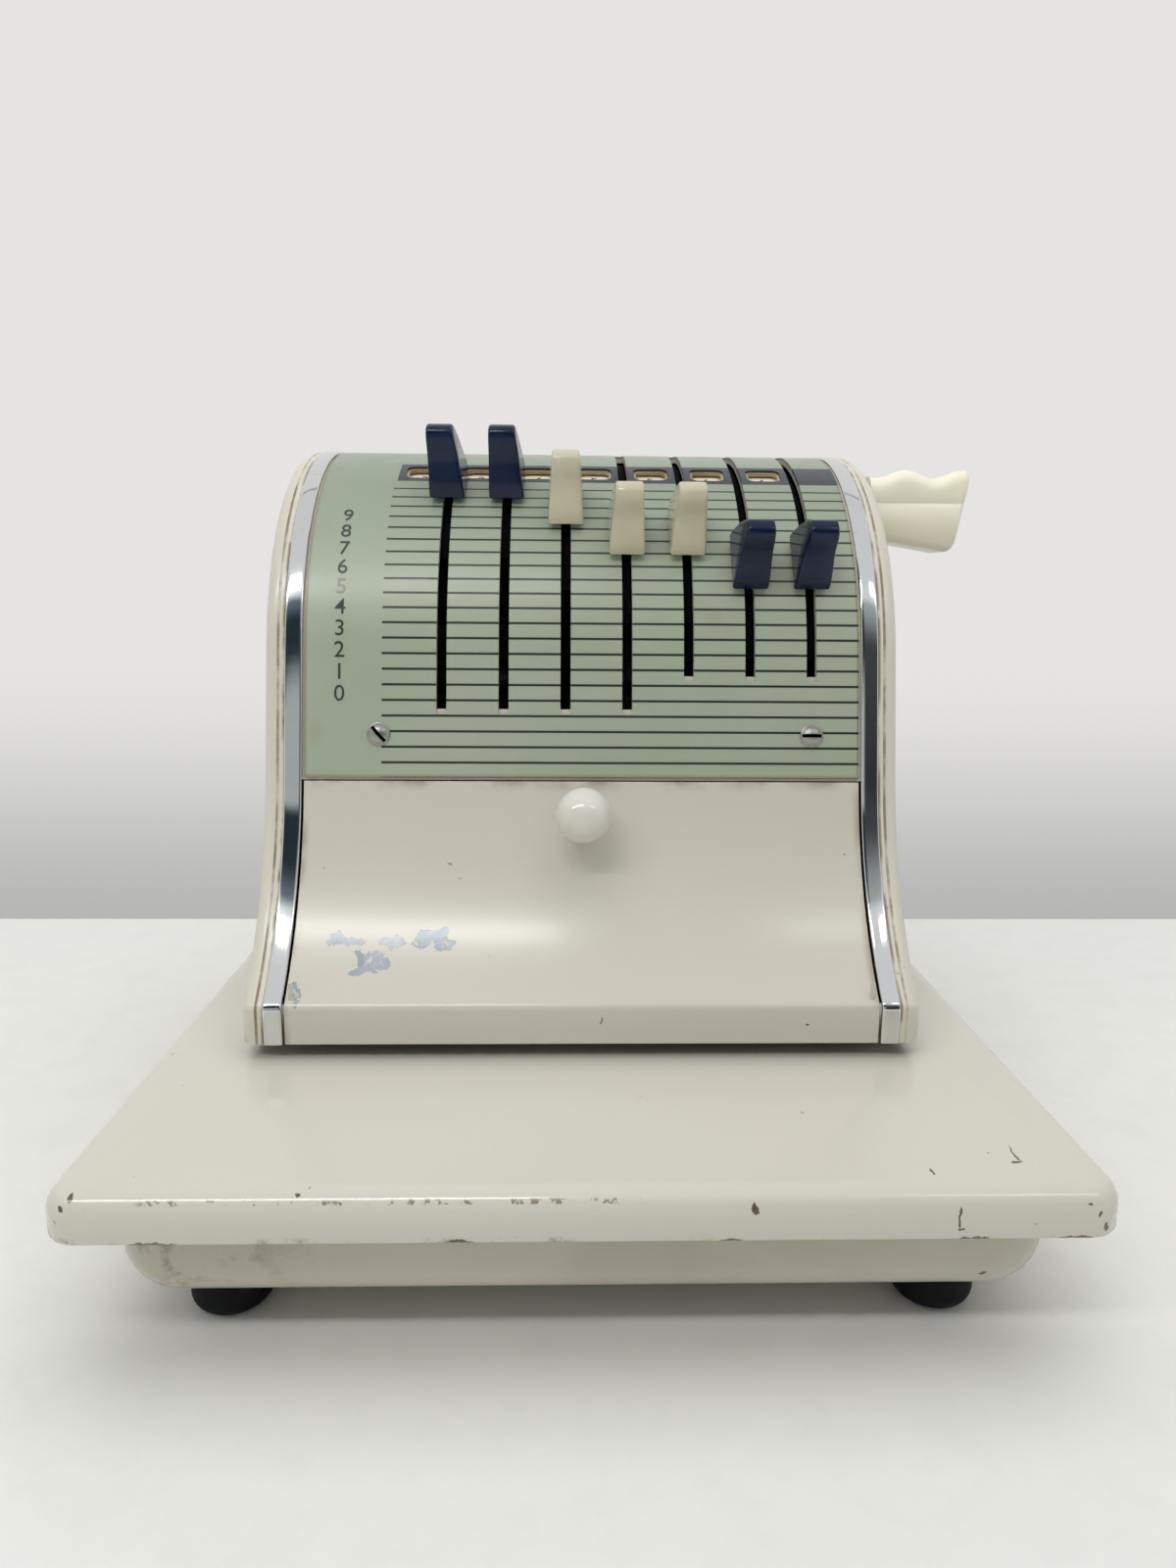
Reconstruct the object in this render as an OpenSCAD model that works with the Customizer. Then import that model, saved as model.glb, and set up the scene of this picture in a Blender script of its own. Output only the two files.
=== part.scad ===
// Desk check writer: a rounded press head over a flat tray, seven amount levers that turn
// geared type wheels, a hinged front door and a side handle that lifts the platen.
// +X is the machine's right, +Y its back, +Z up. The origin is on the table, under the
// middle of the whole machine.

/* [Base] */
// Width of the tray
tray_w = 254; // [240:1:300]
// Depth of the tray
tray_d = 322; // [312:1:380]
// Height of the tray's folded skirt
skirt_h = 12.3; // [9:0.1:20]
// Rounding of the tray's top edge
tray_edge_r = 6; // [3:0.5:8]
// Rounding of the tray's corners in plan
tray_corner_r = 9; // [8.5:0.5:20]
// Sheet thickness of the tray
tray_wall = 2; // [1:0.1:2.5]
// How far the pan stands in from the tray's edge
pan_inset = 9.5; // [9:0.5:20]
// Height of the pan
pan_h = 35; // [30:1:60]
// Rounding of the pan's lower edge
pan_edge_r = 13.5; // [4:0.5:14]
// Rounding of the pan's corners in plan
pan_corner_r = 16; // [4:0.5:20]
// Sheet thickness of the pan
pan_wall = 1.8; // [1:0.1:3]
// Diameter of a rubber foot
foot_d = 21.8; // [16:0.1:28]
// Height of a rubber foot
foot_h = 14; // [10:0.5:24]
// Rounding of a foot's lower edge
foot_edge_r = 4.5; // [2:0.1:5]
// From the pan's side to a foot's centre
foot_in = 23.5; // [18:0.5:30]
// From the pan's front to a foot's centre
foot_back = 25.5; // [18:0.5:30]
// Diameter of a foot screw's shank
foot_screw_d = 4; // [3:0.1:5]

/* [Head] */
// Width of the head
head_w = 200.6; // [196:0.2:214]
// From the tray's front edge to the head's lower front edge
head_front = 70; // [64:0.5:80]
// Radius of the head's rounded top
head_r = 84.2; // [83:0.1:90]
// From the tray's front edge to the axis of the rounded top
head_axis_y = 195.4; // [192:0.1:204]
// Height of that axis above the tray
head_axis_h = 101.2; // [100:0.1:110]
// Backward lean of the flat front
flat_lean = 10.8; // [9:0.1:12]
// Height of the flat front along its slope
flat_len = 41; // [38:0.5:43]
// Radius of the hollow curve of the door
door_arc_r = 106; // [100:0.5:110]
// Rounding where the door's curve meets its upright lip
crease_r = 3; // [1.5:0.1:4]
// Height of the throat between tray and head
throat = 4.8; // [4.2:0.1:7]
// Bevel of the head's side edges
rim_bevel = 3; // [1.5:0.1:3.4]
// Width of a cream rim at the head's side
rim_w = 6.8; // [6.3:0.1:9]
// Width of a chrome trim
trim_w = 5.5; // [4:0.1:6]
// How far a chrome trim stands proud
trim_proud = 0.6; // [0.2:0.1:1]
// Thickness of the printed face plate
plate_wall = 0.8; // [0.5:0.1:1]
// Thickness of the head shell
shell_wall = 1.5; // [1:0.1:1.8]
// Thickness of a side cover
cover_wall = 2; // [1.2:0.1:2.5]
// Thickness of the rear cover
rear_wall = 1.5; // [1:0.1:2]
// Angle behind upright at which the shell ends and the rear cover starts
rear_split = 40; // [25:1:60]
// Angle behind upright at which the face plate ends
plate_back = 8; // [4:1:20]
// Diameter of a slotted face screw
face_screw_d = 7.3; // [5:0.1:8.5]

/* [Frame] */
// Thickness of a side frame
frame_wall = 2.5; // [2:0.1:3]
// From the mid-plane to the inner face of a side frame
frame_in = 81.5; // [81.5:0.1:82]
// Thickness of the throat plate
throat_plate_t = 1.2; // [0.8:0.1:1.5]
// Diameter of a tie rod
tie_d = 6; // [4:0.1:8]
// Diameter of a case screw's shank
case_screw_d = 4; // [3:0.1:5]
// Depth of the neck that joins tray and head
neck_d = 56; // [50:1:60]

/* [Door] */
// Thickness of the door sheet
door_wall = 1.5; // [1:0.1:1.8]
// From the door's lip back to the hinge line
hinge_back = 6.5; // [6:0.1:8]
// From the door's lower edge up to the hinge line
hinge_up = 7; // [6.5:0.1:9]
// Diameter of a hinge pin
hinge_pin_d = 4; // [2.5:0.1:5]
// Diameter of the round door knob
knob_d = 17.2; // [12:0.1:19]
// How far the knob stands out of the door
knob_reach = 20; // [18:0.1:21]
// From the door's top edge down to the knob
knob_drop = 11.5; // [9:0.5:20]
// Diameter of the knob's neck
knob_neck_d = 7; // [5:0.1:10]

/* [Levers] */
// Distance between neighbouring levers
lever_pitch = 19.46; // [19:0.01:20]
// Sideways place of the middle lever
lever_mid_x = 13.8; // [12:0.1:14]
// Width of a lever slot
slot_w = 3.2; // [3:0.1:4]
// Thickness of a lever's sheet
lever_wall = 2.4; // [1.8:0.1:2.6]
// Width of a lever's stem
stem_w = 7.2; // [5:0.1:7.6]
// Diameter of the shaft that carries the levers
lever_shaft_d = 8; // [6:0.1:10]
// Diameter of a lever's hub
hub_d = 16; // [13:0.1:17]
// Width of a lever cap at its foot
cap_w = 11.6; // [9:0.1:13]
// Width of a lever cap at its outer end
cap_tip_w = 8.6; // [6:0.1:10]
// Height of a lever cap
cap_h = 21.4; // [18:0.1:25]
// Width of a dial window
window_w = 11.8; // [8:0.1:12]
// Height of a dial window
window_h = 9.4; // [6:0.1:10]

/* [Type] */
// From the pitch line of the gears to the face of the type
type_above_pitch = 4; // [3:0.1:5]
// Width of a type wheel's printing rim
type_w = 11; // [8:0.1:11.5]
// Diameter of the shaft that carries the type wheels
type_shaft_d = 5; // [4:0.1:6]
// Diameter of the ink roller
roller_d = 14; // [10:0.1:18]

/* [Handle] */
// Diameter of the main shaft
main_shaft_d = 12; // [10:0.1:13]
// From the back of the head's case in to the main shaft
shaft_in = 25.3; // [24:0.1:27]
// Height of the main shaft above the tray
shaft_h = 55; // [52:0.5:56]
// Length of the handle's arm from shaft to grip
arm_len = 126; // [110:1:136]
// Forward lean of the handle's arm at rest
arm_lean = 28; // [20:1:40]
// Thickness of the handle's arm
arm_wall = 5; // [3:0.1:8]
// Gap between the head's side and the handle's arm
arm_gap = 3; // [1.5:0.1:6]
// Length of the grip
grip_len = 38.5; // [34:0.1:60]
// Height of the grip
grip_h = 30; // [24:0.5:36]
// Depth of the grip, front to back
grip_d = 24; // [18:0.5:30]
// Distance between two finger grooves of the grip
groove_pitch = 21.8; // [14:0.1:30]
// Depth of a finger groove
groove_depth = 3; // [1:0.1:4]

/* [Platen] */
// How far the platen rises
platen_lift = 5.2; // [4.6:0.1:5.2]
// Depth of the platen, front to back
platen_d = 20; // [14:0.5:24]
// Turn of the handle that lifts the platen
pull = 60; // [45:1:65]
// Least radius of a press cam
cam_r = 10; // [9:0.1:11]

/* [Fits] */
// Radial running clearance of a shaft in its bore
run = 0.05; // [0.03:0.01:0.1]
// Clearance between moving pieces
gap = 0.3; // [0.2:0.05:0.4]
// Clearance between pieces that are fixed together
seat = 0.05; // [0.02:0.01:0.1]

/* [Hidden] */
$fn = 96;
LEVERS = 7;

// Colours, as the photo shows them.
cream = "#cdc8bb";
aged_cream = "#e0ddd0";
grip_cream = "#e6e4d3";
sage = "#a8b8a2";
chrome = "#c9ced3";
steel = "#8f9498";
dark_steel = "#55595c";
navy = "#1d2f5c";
rubber = "#2a3038";
ink_felt = "#2b2740";
knob_white = "#f2f1ec";

// Heights, measured from the table.
pan_bottom = foot_h;
tray_under = pan_bottom + pan_h;
tray_top = tray_under + tray_wall;
head_bottom = tray_top + throat;
frame_bottom = head_bottom + throat_plate_t;

// Outline of the head, seen from its side. Each point is [depth, height].
head_c = [head_axis_y, tray_top + head_axis_h];
head_rear = head_c[0] + head_r;
flat_n = [-cos(flat_lean), sin(flat_lean)];
flat_t = [sin(flat_lean), cos(flat_lean)];
arc_start = 90 - flat_lean;
door_top = head_c + up(head_r, arc_start) - flat_len * flat_t;
arc_c = door_top + door_arc_r * flat_n;
crease_lean = acos((head_front - arc_c[0]) / door_arc_r);
crease_y = head_front + crease_r;
crease_c = [crease_y, arc_c[1] - sqrt(pow(door_arc_r + crease_r, 2) - pow(crease_y - arc_c[0], 2))];
crease_dir = (arc_c - crease_c) / (door_arc_r + crease_r);

// Sideways places, from the mid-plane.
head_half = head_w / 2;
rim_in = head_half - rim_w;
trim_in = rim_in - trim_w;
face_half = trim_in - 0.8;
door_half = trim_in - 1;
frame_out = frame_in + frame_wall;
flange_in = frame_out + 0.6;
flange_wall = door_half - flange_in - 0.9;

// The head's shell and plate, as depths under the outline.
shell_in = plate_wall + seat;
shell_depth = shell_in + shell_wall;
frame_depth = shell_depth + seat;
door_gap = 0.4;
plate_from = 0.8;

// Gears: a type wheel turns one face further for each setting of its lever.
pinion_teeth = 20;
gear_teeth = 76;
gear_ratio = gear_teeth / pinion_teeth;
type_faces = 12;
lever_step = 360 / type_faces / gear_ratio;

// Levers. Angles are measured forward from upright.
lever_x = [for (k = [1:LEVERS]) lever_mid_x + (k - (LEVERS + 1) / 2) * lever_pitch];
rest_steps = [3, 3, 4, 5, 5, 6, 6];
long_levers = 4;
top_setting = 11.5;
rest_a = [for (k = [0:LEVERS - 1]) top_setting + rest_steps[k] * lever_step];
settings = 10;
slot_top_a = 2;
slot_low = [21.25, 31.9];
slot_shelf = 1.5;
drill = 10;
window_a = 28.4;
window_shift = lever_pitch / 2;
dial_out = head_r - 3.4;
dial_wall = 1.2;
dial_front = window_a - top_setting + 4.5;
dial_back = window_a - top_setting - (settings - 1) * lever_step - 4.5;
dial_reach = window_shift + window_w / 2 + 0.95;
hub_len = 6;
stem_into_cap = 12;
cap_foot = 1.2;

// Side view of a cap: its points are [forward of the stem, share of the height].
cap_toe = 10.5;
cap_heel = 9.8;
cap_front = [[cap_toe, 0], [cap_toe - 0.2, 0.3], [cap_toe * 0.5, 0.42], [cap_toe * 0.42, 0.74]];
cap_top = [[cap_toe * 0.42, 0.74], [cap_toe * 0.36, 1], [1.5, 1.04], [-2, 0.98]];
cap_back = [[-2, 0.98], [-4.2, 0.9], [-cap_heel + 1.2, 0.42], [-cap_heel, 0.04]];

// Sizes of the gears between levers and type wheels.
lever_axis_h = head_axis_h;
type_r = (lever_axis_h - throat - 0.4 + (gear_ratio + 1) * type_above_pitch) / (gear_ratio + 2);
pinion_r = type_r - type_above_pitch;
gear_r = gear_ratio * pinion_r;
tooth_m = 2 * pinion_r / pinion_teeth;
backlash = 0.1;
pressure = 20;
mesh_margin = 10;
type_c = [head_c[0], head_c[1] - gear_r - pinion_r];
pinion_w = 4;
roller_c = [type_c[0] - type_r - gap - roller_d / 2, type_c[1] + 1];
roller_journal_d = 4;
print_from = lever_x[0] - pinion_w / 2 - type_w - 4;
print_to = lever_x[LEVERS - 1] + 6;

// Handle, shaft, cams and platen.
shaft_c = [head_rear - shaft_in, tray_top + shaft_h];
arm_in = head_half + arm_gap;
arm_out = arm_in + arm_wall;
grip_end = arm_out + grip_len;
grip_c = shaft_c + up(arm_len, arm_lean);
arm_root_r = 13;
arm_tip_r = 9;
tang_d = 9;
tang_short = 12;
cam_wall = 2.8;
cam_in = frame_in - 6.9;
link_in = cam_in + cam_wall + 0.4;
link_out = frame_in - 0.7;
link_w = 20;
follower_r = 4;
follower_c = shaft_c + [0, cam_r + follower_r + 0.75];
yoke_top = tray_under - platen_lift - 0.8;
yoke_h = 8;
platen_top = tray_top - 0.3;
neck_opening = [link_out - link_in + 2 * 0.8, link_w + 2 * 1];

// Door hinge line and tie rods.
hinge_c = [head_front + hinge_back, head_bottom + hinge_up];
ear_r = 4.2;
door_sweep_r = norm([hinge_back, hinge_up]) + 0.4;
detent_c = head_c + up(head_r - 8, -73.9);
front_tie_c = [head_front + 36, tray_top + 28];
rear_tie_c = [head_rear - 11, tray_top + 20];
case_screw_at = [[head_front + 52, tray_top + 42], [head_rear - 30, head_c[1] + 24]];

// Screws, knob and spring.
foot_recess = 6;
face_screw_x = [lever_x[0] - lever_pitch, lever_x[LEVERS - 1]];
face_screw_s = 14.7;
face_shank_d = 3.5;
knob_stud_d = 4;
knob_a = flat_lean + knob_drop / door_arc_r * 180 / PI;
cam_rise = platen_lift / pull;
cam_lead = 12;
spring_wire = 1.6;
spring_turns = 6;
spring_sides = 8;
spring_rings = 12;

// Whole machine: the grip reaches past the tray on the right.
mid_x = (grip_end - tray_w / 2) / 2;
mid_y = tray_d / 2;

// A point at distance r from an axis, a degrees forward of upright.
function up(r, a) = [-r * sin(a), r * cos(a)];
// A point on the flat front: s up its slope from the door's top, u outward.
function flat_at(s, u) = door_top + s * flat_t + u * flat_n;
// Involute angle in degrees at a pressure angle.
function involute(a) = tan(a) * 180 / PI - a;
// Half the angle of a tooth of a gear with pitch radius r, at radius q.
function tooth_half(r, n, q) =
    let (base = r * cos(pressure), lean = q > base ? acos(base / q) : 0)
    90 / n + involute(pressure) - involute(lean) - backlash / 2 / r * 180 / PI;
// Points of one tooth centred on angle a.
function tooth(r, n, a) =
    let (root = r - 1.25 * tooth_m, foot = max(root, r * cos(pressure)), tip = r + tooth_m,
        rs = [root, for (i = [0:3]) foot + (tip - foot) * i / 3])
    concat([for (q = rs) up(q, a - tooth_half(r, n, q))],
        [for (i = [len(rs) - 1:-1:0]) up(rs[i], a + tooth_half(r, n, rs[i]))]);

// A point of a curve with four control points.
function bezier(p, t) =
    pow(1 - t, 3) * p[0] + 3 * pow(1 - t, 2) * t * p[1] + 3 * (1 - t) * t * t * p[2]
    + pow(t, 3) * p[3];
// Radius of a press cam at a degrees behind upright: it grows evenly through the pull.
function cam_at(a) =
    a <= pull + cam_lead ? cam_r + cam_rise * a
    : a <= 360 - cam_lead ? cam_r + cam_rise * (pull + cam_lead)
        - cam_rise * (pull + 2 * cam_lead) * (a - pull - cam_lead) / (360 - pull - 2 * cam_lead)
    : cam_r + cam_rise * (a - 360);

// Moves the machine so that its origin is under its middle.
module placed() {
    translate([-mid_x, -mid_y, 0]) children();
}

// An outline of depth and height, made solid from x0 to x1.
module across(x0, x1) {
    translate([x0, 0, 0]) rotate([90, 0, 90]) linear_extrude(x1 - x0) children();
}

// A round bar along X through p = [depth, height].
module rod(x0, x1, d, p) {
    translate([x0, p[0], p[1]]) rotate([0, 90, 0]) cylinder(d = d, h = x1 - x0);
}

module both_sides() {
    children();
    mirror([1, 0, 0]) children();
}

// A rectangle with round corners, centred.
module round_rect(w, d, r) {
    square([w - 2 * r, d], center = true);
    square([w, d - 2 * r], center = true);
    for (x = [-1, 1], y = [-1, 1])
        translate([x * (w / 2 - r), y * (d / 2 - r)]) circle(r);
}

// Two round ends joined by a tapering bar.
module link_2d(p, rp, q, rq) {
    d = q - p;
    a = atan2(d[1], d[0]);
    b = acos((rp - rq) / norm(d));
    translate(p) circle(rp);
    translate(q) circle(rq);
    polygon([
        p + rp * [cos(a + b), sin(a + b)], p + rp * [cos(a - b), sin(a - b)],
        q + rq * [cos(a - b), sin(a - b)], q + rq * [cos(a + b), sin(a + b)]
    ]);
}

// The head's outline, i under its surface, down to the height low.
module head_2d(i, low = head_bottom) {
    difference() {
        union() {
            intersection() {
                translate(head_c) circle(head_r - i);
                translate([0, head_c[1] - head_r / 2]) square(2 * head_c[0]);
            }
            polygon([
                head_c, head_c + up(head_r - i, arc_start), door_top - i * flat_n,
                [head_front + i, arc_c[1]], [head_front + i, low], [head_rear - i, low],
                [head_rear - i, head_c[1]]
            ]);
        }
        translate(arc_c) circle(door_arc_r + i);
        if (i < crease_r) difference() {
            polygon([crease_c, crease_c + [-crease_r - 2, 0], crease_c + (crease_r + 2) * crease_dir]);
            translate(crease_c) circle(crease_r - i);
        }
    }
}

// The head's skin between two depths.
module skin_2d(i, j) {
    difference() {
        head_2d(i);
        head_2d(j, head_bottom - 1);
    }
}

// Everything above the flat front's point s, back to angle a.
module above_2d(s, a) {
    polygon([
        head_c, head_c + up(260, a), head_c + up(260, a / 2 + 30), head_c + up(260, 60),
        flat_at(s, 60), flat_at(s, -30)
    ]);
}

// What a bevelled side edge leaves out of a square one: u outward along the first axis, X
// along the second. It runs on past the flat faces.
module rim_cut_2d() {
    over = 1;
    polygon([
        [over, head_half - rim_bevel - over], [over, head_half + over],
        [-rim_bevel - over, head_half + over]
    ]);
}

// Draws a section along a straight run: its first axis points out of the head.
module along(p, lean, run_len) {
    multmatrix([
        [0, 1, 0, 0],
        [-cos(lean), 0, sin(lean), p[0]],
        [sin(lean), 0, cos(lean), p[1]],
        [0, 0, 0, 1]
    ]) linear_extrude(run_len) children();
}

// Turns a section about an axis along X, from angle a0 above the rear, over a1 degrees.
module about(c, a0, a1) {
    translate([0, c[0], c[1]]) rotate([90, 0, 90]) rotate([0, 0, a0]) rotate_extrude(angle = a1)
        children();
}

// The part of the outline that the door closes.
module door_side_2d() {
    polygon([
        flat_at(0, 60), flat_at(0, -20), [flat_at(0, -20)[0], head_bottom - 1],
        [head_front - 60, head_bottom - 1]
    ]);
}

// A solid side of the head, with its bevelled edge.
module head_side() {
    lip = head_bottom - 1;
    difference() {
        across(rim_in, head_half) head_2d(0);
        along([head_front, lip], 0, crease_c[1] + crease_r + 3 - lip) rim_cut_2d();
        about(arc_c, -crease_lean - 3, crease_lean + 3 - flat_lean)
            translate([door_arc_r, 0]) mirror([1, 0]) rim_cut_2d();
        along(door_top, flat_lean, flat_len) rim_cut_2d();
        about(head_c, 0, 180 - flat_lean) translate([head_r, 0]) rim_cut_2d();
        along([head_rear, head_c[1]], 180, head_c[1] - lip) rim_cut_2d();
    }
}

// Base ------------------------------------------------------------------------------

// A slab with round corners in plan and a round top edge.
module slab(w, d, h, corner, edge) {
    module section() {
        square([corner, h - edge]);
        if (corner > edge) square([corner - edge, h]);
        intersection() {
            translate([corner - edge, h - edge]) circle(edge);
            square([corner, h]);
        }
    }
    module side(l) {
        rotate([90, 0, 0]) translate([0, 0, -l / 2]) linear_extrude(l) section();
    }
    in_w = w / 2 - corner;
    in_d = d / 2 - corner;
    translate([-in_w, -in_d, 0]) cube([2 * in_w, 2 * in_d, h]);
    for (s = [0, 180]) rotate([0, 0, s]) {
        translate([in_w, 0, 0]) side(2 * in_d);
        rotate([0, 0, 90]) translate([in_d, 0, 0]) side(2 * in_w);
        translate([in_w, in_d, 0]) rotate_extrude(angle = 90) section();
        translate([-in_w, in_d, 0]) rotate([0, 0, 90]) rotate_extrude(angle = 90) section();
    }
}

// Openings for the platen and for the two links of its yoke.
module platen_opening(z0, z1) {
    translate([print_from - 2, type_c[0] - platen_d / 2 - 2, z0])
        cube([print_to - print_from + 4, platen_d + 4, z1 - z0]);
}

module link_openings(z0, z1) {
    both_sides()
        translate([(link_in + link_out) / 2 - neck_opening[0] / 2, shaft_c[0] - neck_opening[1] / 2, z0])
            cube([neck_opening[0], neck_opening[1], z1 - z0]);
}

module base_tray() {
    color(aged_cream) placed() difference() {
        translate([0, mid_y, tray_top - skirt_h])
            slab(tray_w, tray_d, skirt_h, tray_corner_r, tray_edge_r);
        translate([0, mid_y, tray_top - skirt_h - tray_wall])
            slab(tray_w - 2 * tray_wall, tray_d - 2 * tray_wall, skirt_h,
                tray_corner_r - tray_wall, tray_edge_r - tray_wall);
        platen_opening(tray_under - 1, tray_top + 1);
        link_openings(tray_under - 1, tray_top + 1);
    }
}

// A box with round corners in plan and a round lower edge.
module pan_solid(w, d, h, corner, edge) {
    translate([0, 0, h]) mirror([0, 0, 1]) slab(w, d, h, max(corner, edge), edge);
}

module base_pan() {
    w = tray_w - 2 * pan_inset;
    d = tray_d - 2 * pan_inset;
    color(aged_cream) placed() translate([0, mid_y, pan_bottom]) difference() {
        pan_solid(w, d, pan_h, pan_corner_r, pan_edge_r);
        translate([0, 0, pan_wall])
            pan_solid(w - 2 * pan_wall, d - 2 * pan_wall, pan_h, pan_corner_r - pan_wall,
                pan_edge_r - pan_wall);
        at_feet() translate([0, 0, -1])
            cylinder(d = foot_screw_d + 2 * seat, h = pan_wall + 2);
    }
}

module at_feet() {
    x = tray_w / 2 - pan_inset - foot_in;
    y = tray_d / 2 - pan_inset - foot_back;
    for (sx = [-1, 1], sy = [-1, 1]) translate([sx * x, sy * y, 0]) children();
}

module rubber_feet() {
    color(rubber) placed() translate([0, mid_y, 0]) at_feet() difference() {
        rotate_extrude() {
            square([foot_d / 2 - foot_edge_r, foot_h]);
            translate([0, foot_edge_r]) square([foot_d / 2, foot_h - foot_edge_r]);
            translate([foot_d / 2 - foot_edge_r, foot_edge_r]) circle(foot_edge_r);
        }
        translate([0, 0, -1]) cylinder(d = foot_screw_d + 5, h = foot_recess + 1);
        cylinder(d = foot_screw_d + 2 * seat, h = foot_h + 1);
    }
}

module foot_screws() {
    color(steel) placed() translate([0, mid_y, 0]) at_feet() difference() {
        union() {
            translate([0, 0, foot_recess - 2.4]) cylinder(d = foot_screw_d + 4, h = 2.4);
            cylinder_from(foot_recess - 1, foot_h + pan_wall + 1, foot_screw_d);
            cylinder_from(foot_h + pan_wall, foot_h + pan_wall + 3, foot_screw_d + 3.5);
        }
        translate([0, 0, foot_recess - 2.4]) cube([foot_screw_d + 6, 1, 2], center = true);
    }
}

module cylinder_from(z0, z1, d) {
    translate([0, 0, z0]) cylinder(d = d, h = z1 - z0);
}

module neck_spacer() {
    half = rim_in - 2;
    color(dark_steel) placed() difference() {
        translate([-half, head_rear - 2 - neck_d, tray_top]) cube([2 * half, neck_d, throat]);
        link_openings(tray_top - 1, head_bottom + 1);
    }
}

module throat_plate() {
    front = hinge_c[0] + door_sweep_r + 1.5;
    rear = head_rear - rear_wall - 0.7;
    wide = head_half - cover_wall - gap;
    color(dark_steel) placed() difference() {
        union() {
            translate([-frame_out, front, head_bottom])
                cube([2 * frame_out, rear - front, throat_plate_t]);
            translate([-wide, front + 12, head_bottom])
                cube([2 * wide, rear - front - 12, throat_plate_t]);
        }
        platen_opening(head_bottom - 1, frame_bottom + 1);
        link_openings(head_bottom - 1, frame_bottom + 1);
    }
}

// Frames and case -------------------------------------------------------------------

// The frame is clear of the door's lip, which swings down behind its hinge line.
module frame_2d() {
    difference() {
        head_2d(frame_depth, frame_bottom);
        translate(hinge_c) difference() {
            circle(door_sweep_r + 0.4);
            polygon([[0, 0], 20 * [cos(25), -sin(25)], 30 * [1, 1], 20 * [cos(60), sin(60)]]);
            circle(ear_r);
        }
    }
}

module frame_bores(x0, x1) {
    rod(x0, x1, hinge_pin_d + 2 * run, hinge_c);
    rod(x0, x1, lever_shaft_d + 2 * seat, head_c);
    rod(x0, x1, type_shaft_d + 2 * seat, type_c);
    rod(x0, x1, roller_journal_d + 2 * run, roller_c);
    rod(x0, x1, main_shaft_d + 2 * run, shaft_c);
    for (p = [detent_c, front_tie_c, rear_tie_c]) rod(x0, x1, tie_d + 2 * seat, p);
    for (p = case_screw_at) rod(x0, x1, case_screw_d + 2 * seat, p);
}

module side_frame() {
    color(steel) difference() {
        across(frame_in, frame_out) frame_2d();
        frame_bores(frame_in - 1, frame_out + 1);
    }
}

module side_frame_left() {
    placed() mirror([1, 0, 0]) side_frame();
}

module side_frame_right() {
    placed() side_frame();
}

module side_cover() {
    color(cream) difference() {
        head_side();
        across(rim_in - 1, head_half - cover_wall) head_2d(cover_wall, head_bottom - 1);
        for (p = case_screw_at) rod(rim_in, head_half + 1, case_screw_d + 2 * seat, p);
    }
}

module side_cover_left() {
    placed() mirror([1, 0, 0]) side_cover();
}

module side_cover_right() {
    placed() difference() {
        side_cover();
        rod(rim_in, head_half + 1, main_shaft_d + 2 * gap, shaft_c);
    }
}

module chrome_trim() {
    color(chrome) across(trim_in, rim_in - seat) skin_2d(-trim_proud, plate_wall);
}

module chrome_trim_left() {
    placed() mirror([1, 0, 0]) chrome_trim();
}

module chrome_trim_right() {
    placed() chrome_trim();
}

// Cuts one slot for each lever; shelf shortens its lower end.
module lever_slots(shelf) {
    for (k = [0:LEVERS - 1]) {
        low = (k < long_levers ? slot_low[0] : slot_low[1]) + shelf;
        across(lever_x[k] - slot_w / 2, lever_x[k] + slot_w / 2)
            above_2d(low, slot_top_a);
    }
}

// Cuts one window beside each slot, with a margin round it.
module windows(margin) {
    for (x = lever_x)
        translate([x - window_shift, head_c[0], head_c[1]]) rotate([window_a, 0, 0])
            translate([0, 0, head_r - 8]) linear_extrude(16)
                round_rect(window_w + 2 * margin, window_h + 2 * margin, 2 + margin);
}

// Puts its children on the flat front at the two face screws, pointing out of it.
module at_face_screws() {
    p = flat_at(face_screw_s, 0);
    for (x = face_screw_x) translate([x, p[0], p[1]]) rotate([90 - flat_lean, 0, 0]) children();
}

module head_shell() {
    color(cream) placed() difference() {
        across(-rim_in + seat, rim_in - seat) intersection() {
            skin_2d(shell_in, shell_depth);
            above_2d(door_gap, -rear_split);
        }
        lever_slots(slot_shelf);
        windows(1);
        at_face_screws() translate([0, 0, -drill]) cylinder(d = face_shank_d + 2 * seat, h = 2 * drill);
    }
}

module face_plate() {
    color(sage) placed() difference() {
        across(-face_half, face_half) intersection() {
            skin_2d(0, plate_wall);
            above_2d(door_gap + plate_from, -plate_back);
        }
        lever_slots(0);
        windows(0);
        at_face_screws() translate([0, 0, -drill]) cylinder(d = face_shank_d + 2 * seat, h = 2 * drill);
    }
}

// A slotted dome-head screw that points up out of its seat at z = 0.
module dome_screw(d, h, shank_d, shank_l) {
    dome_r = (d * d / 4 + h * h) / (2 * h);
    difference() {
        union() {
            intersection() {
                translate([0, 0, h - dome_r]) sphere(dome_r);
                cylinder(d = d, h = h);
            }
            translate([0, 0, -shank_l]) cylinder(d = shank_d, h = shank_l + h / 2);
        }
        translate([-d, -0.5, h - 0.9]) cube([2 * d, 1, 2]);
    }
}

module face_screws() {
    color(chrome) placed() at_face_screws() dome_screw(face_screw_d, 2, face_shank_d, 5);
}

module rear_cover() {
    color(cream) placed() across(-trim_in + 2 * seat, trim_in - 2 * seat) intersection() {
        skin_2d(0, rear_wall);
        polygon([
            head_c, head_c + up(260, -rear_split - 0.3), [head_rear + 60, head_bottom - 2],
            [head_c[0], head_bottom - 2]
        ]);
    }
}

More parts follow.
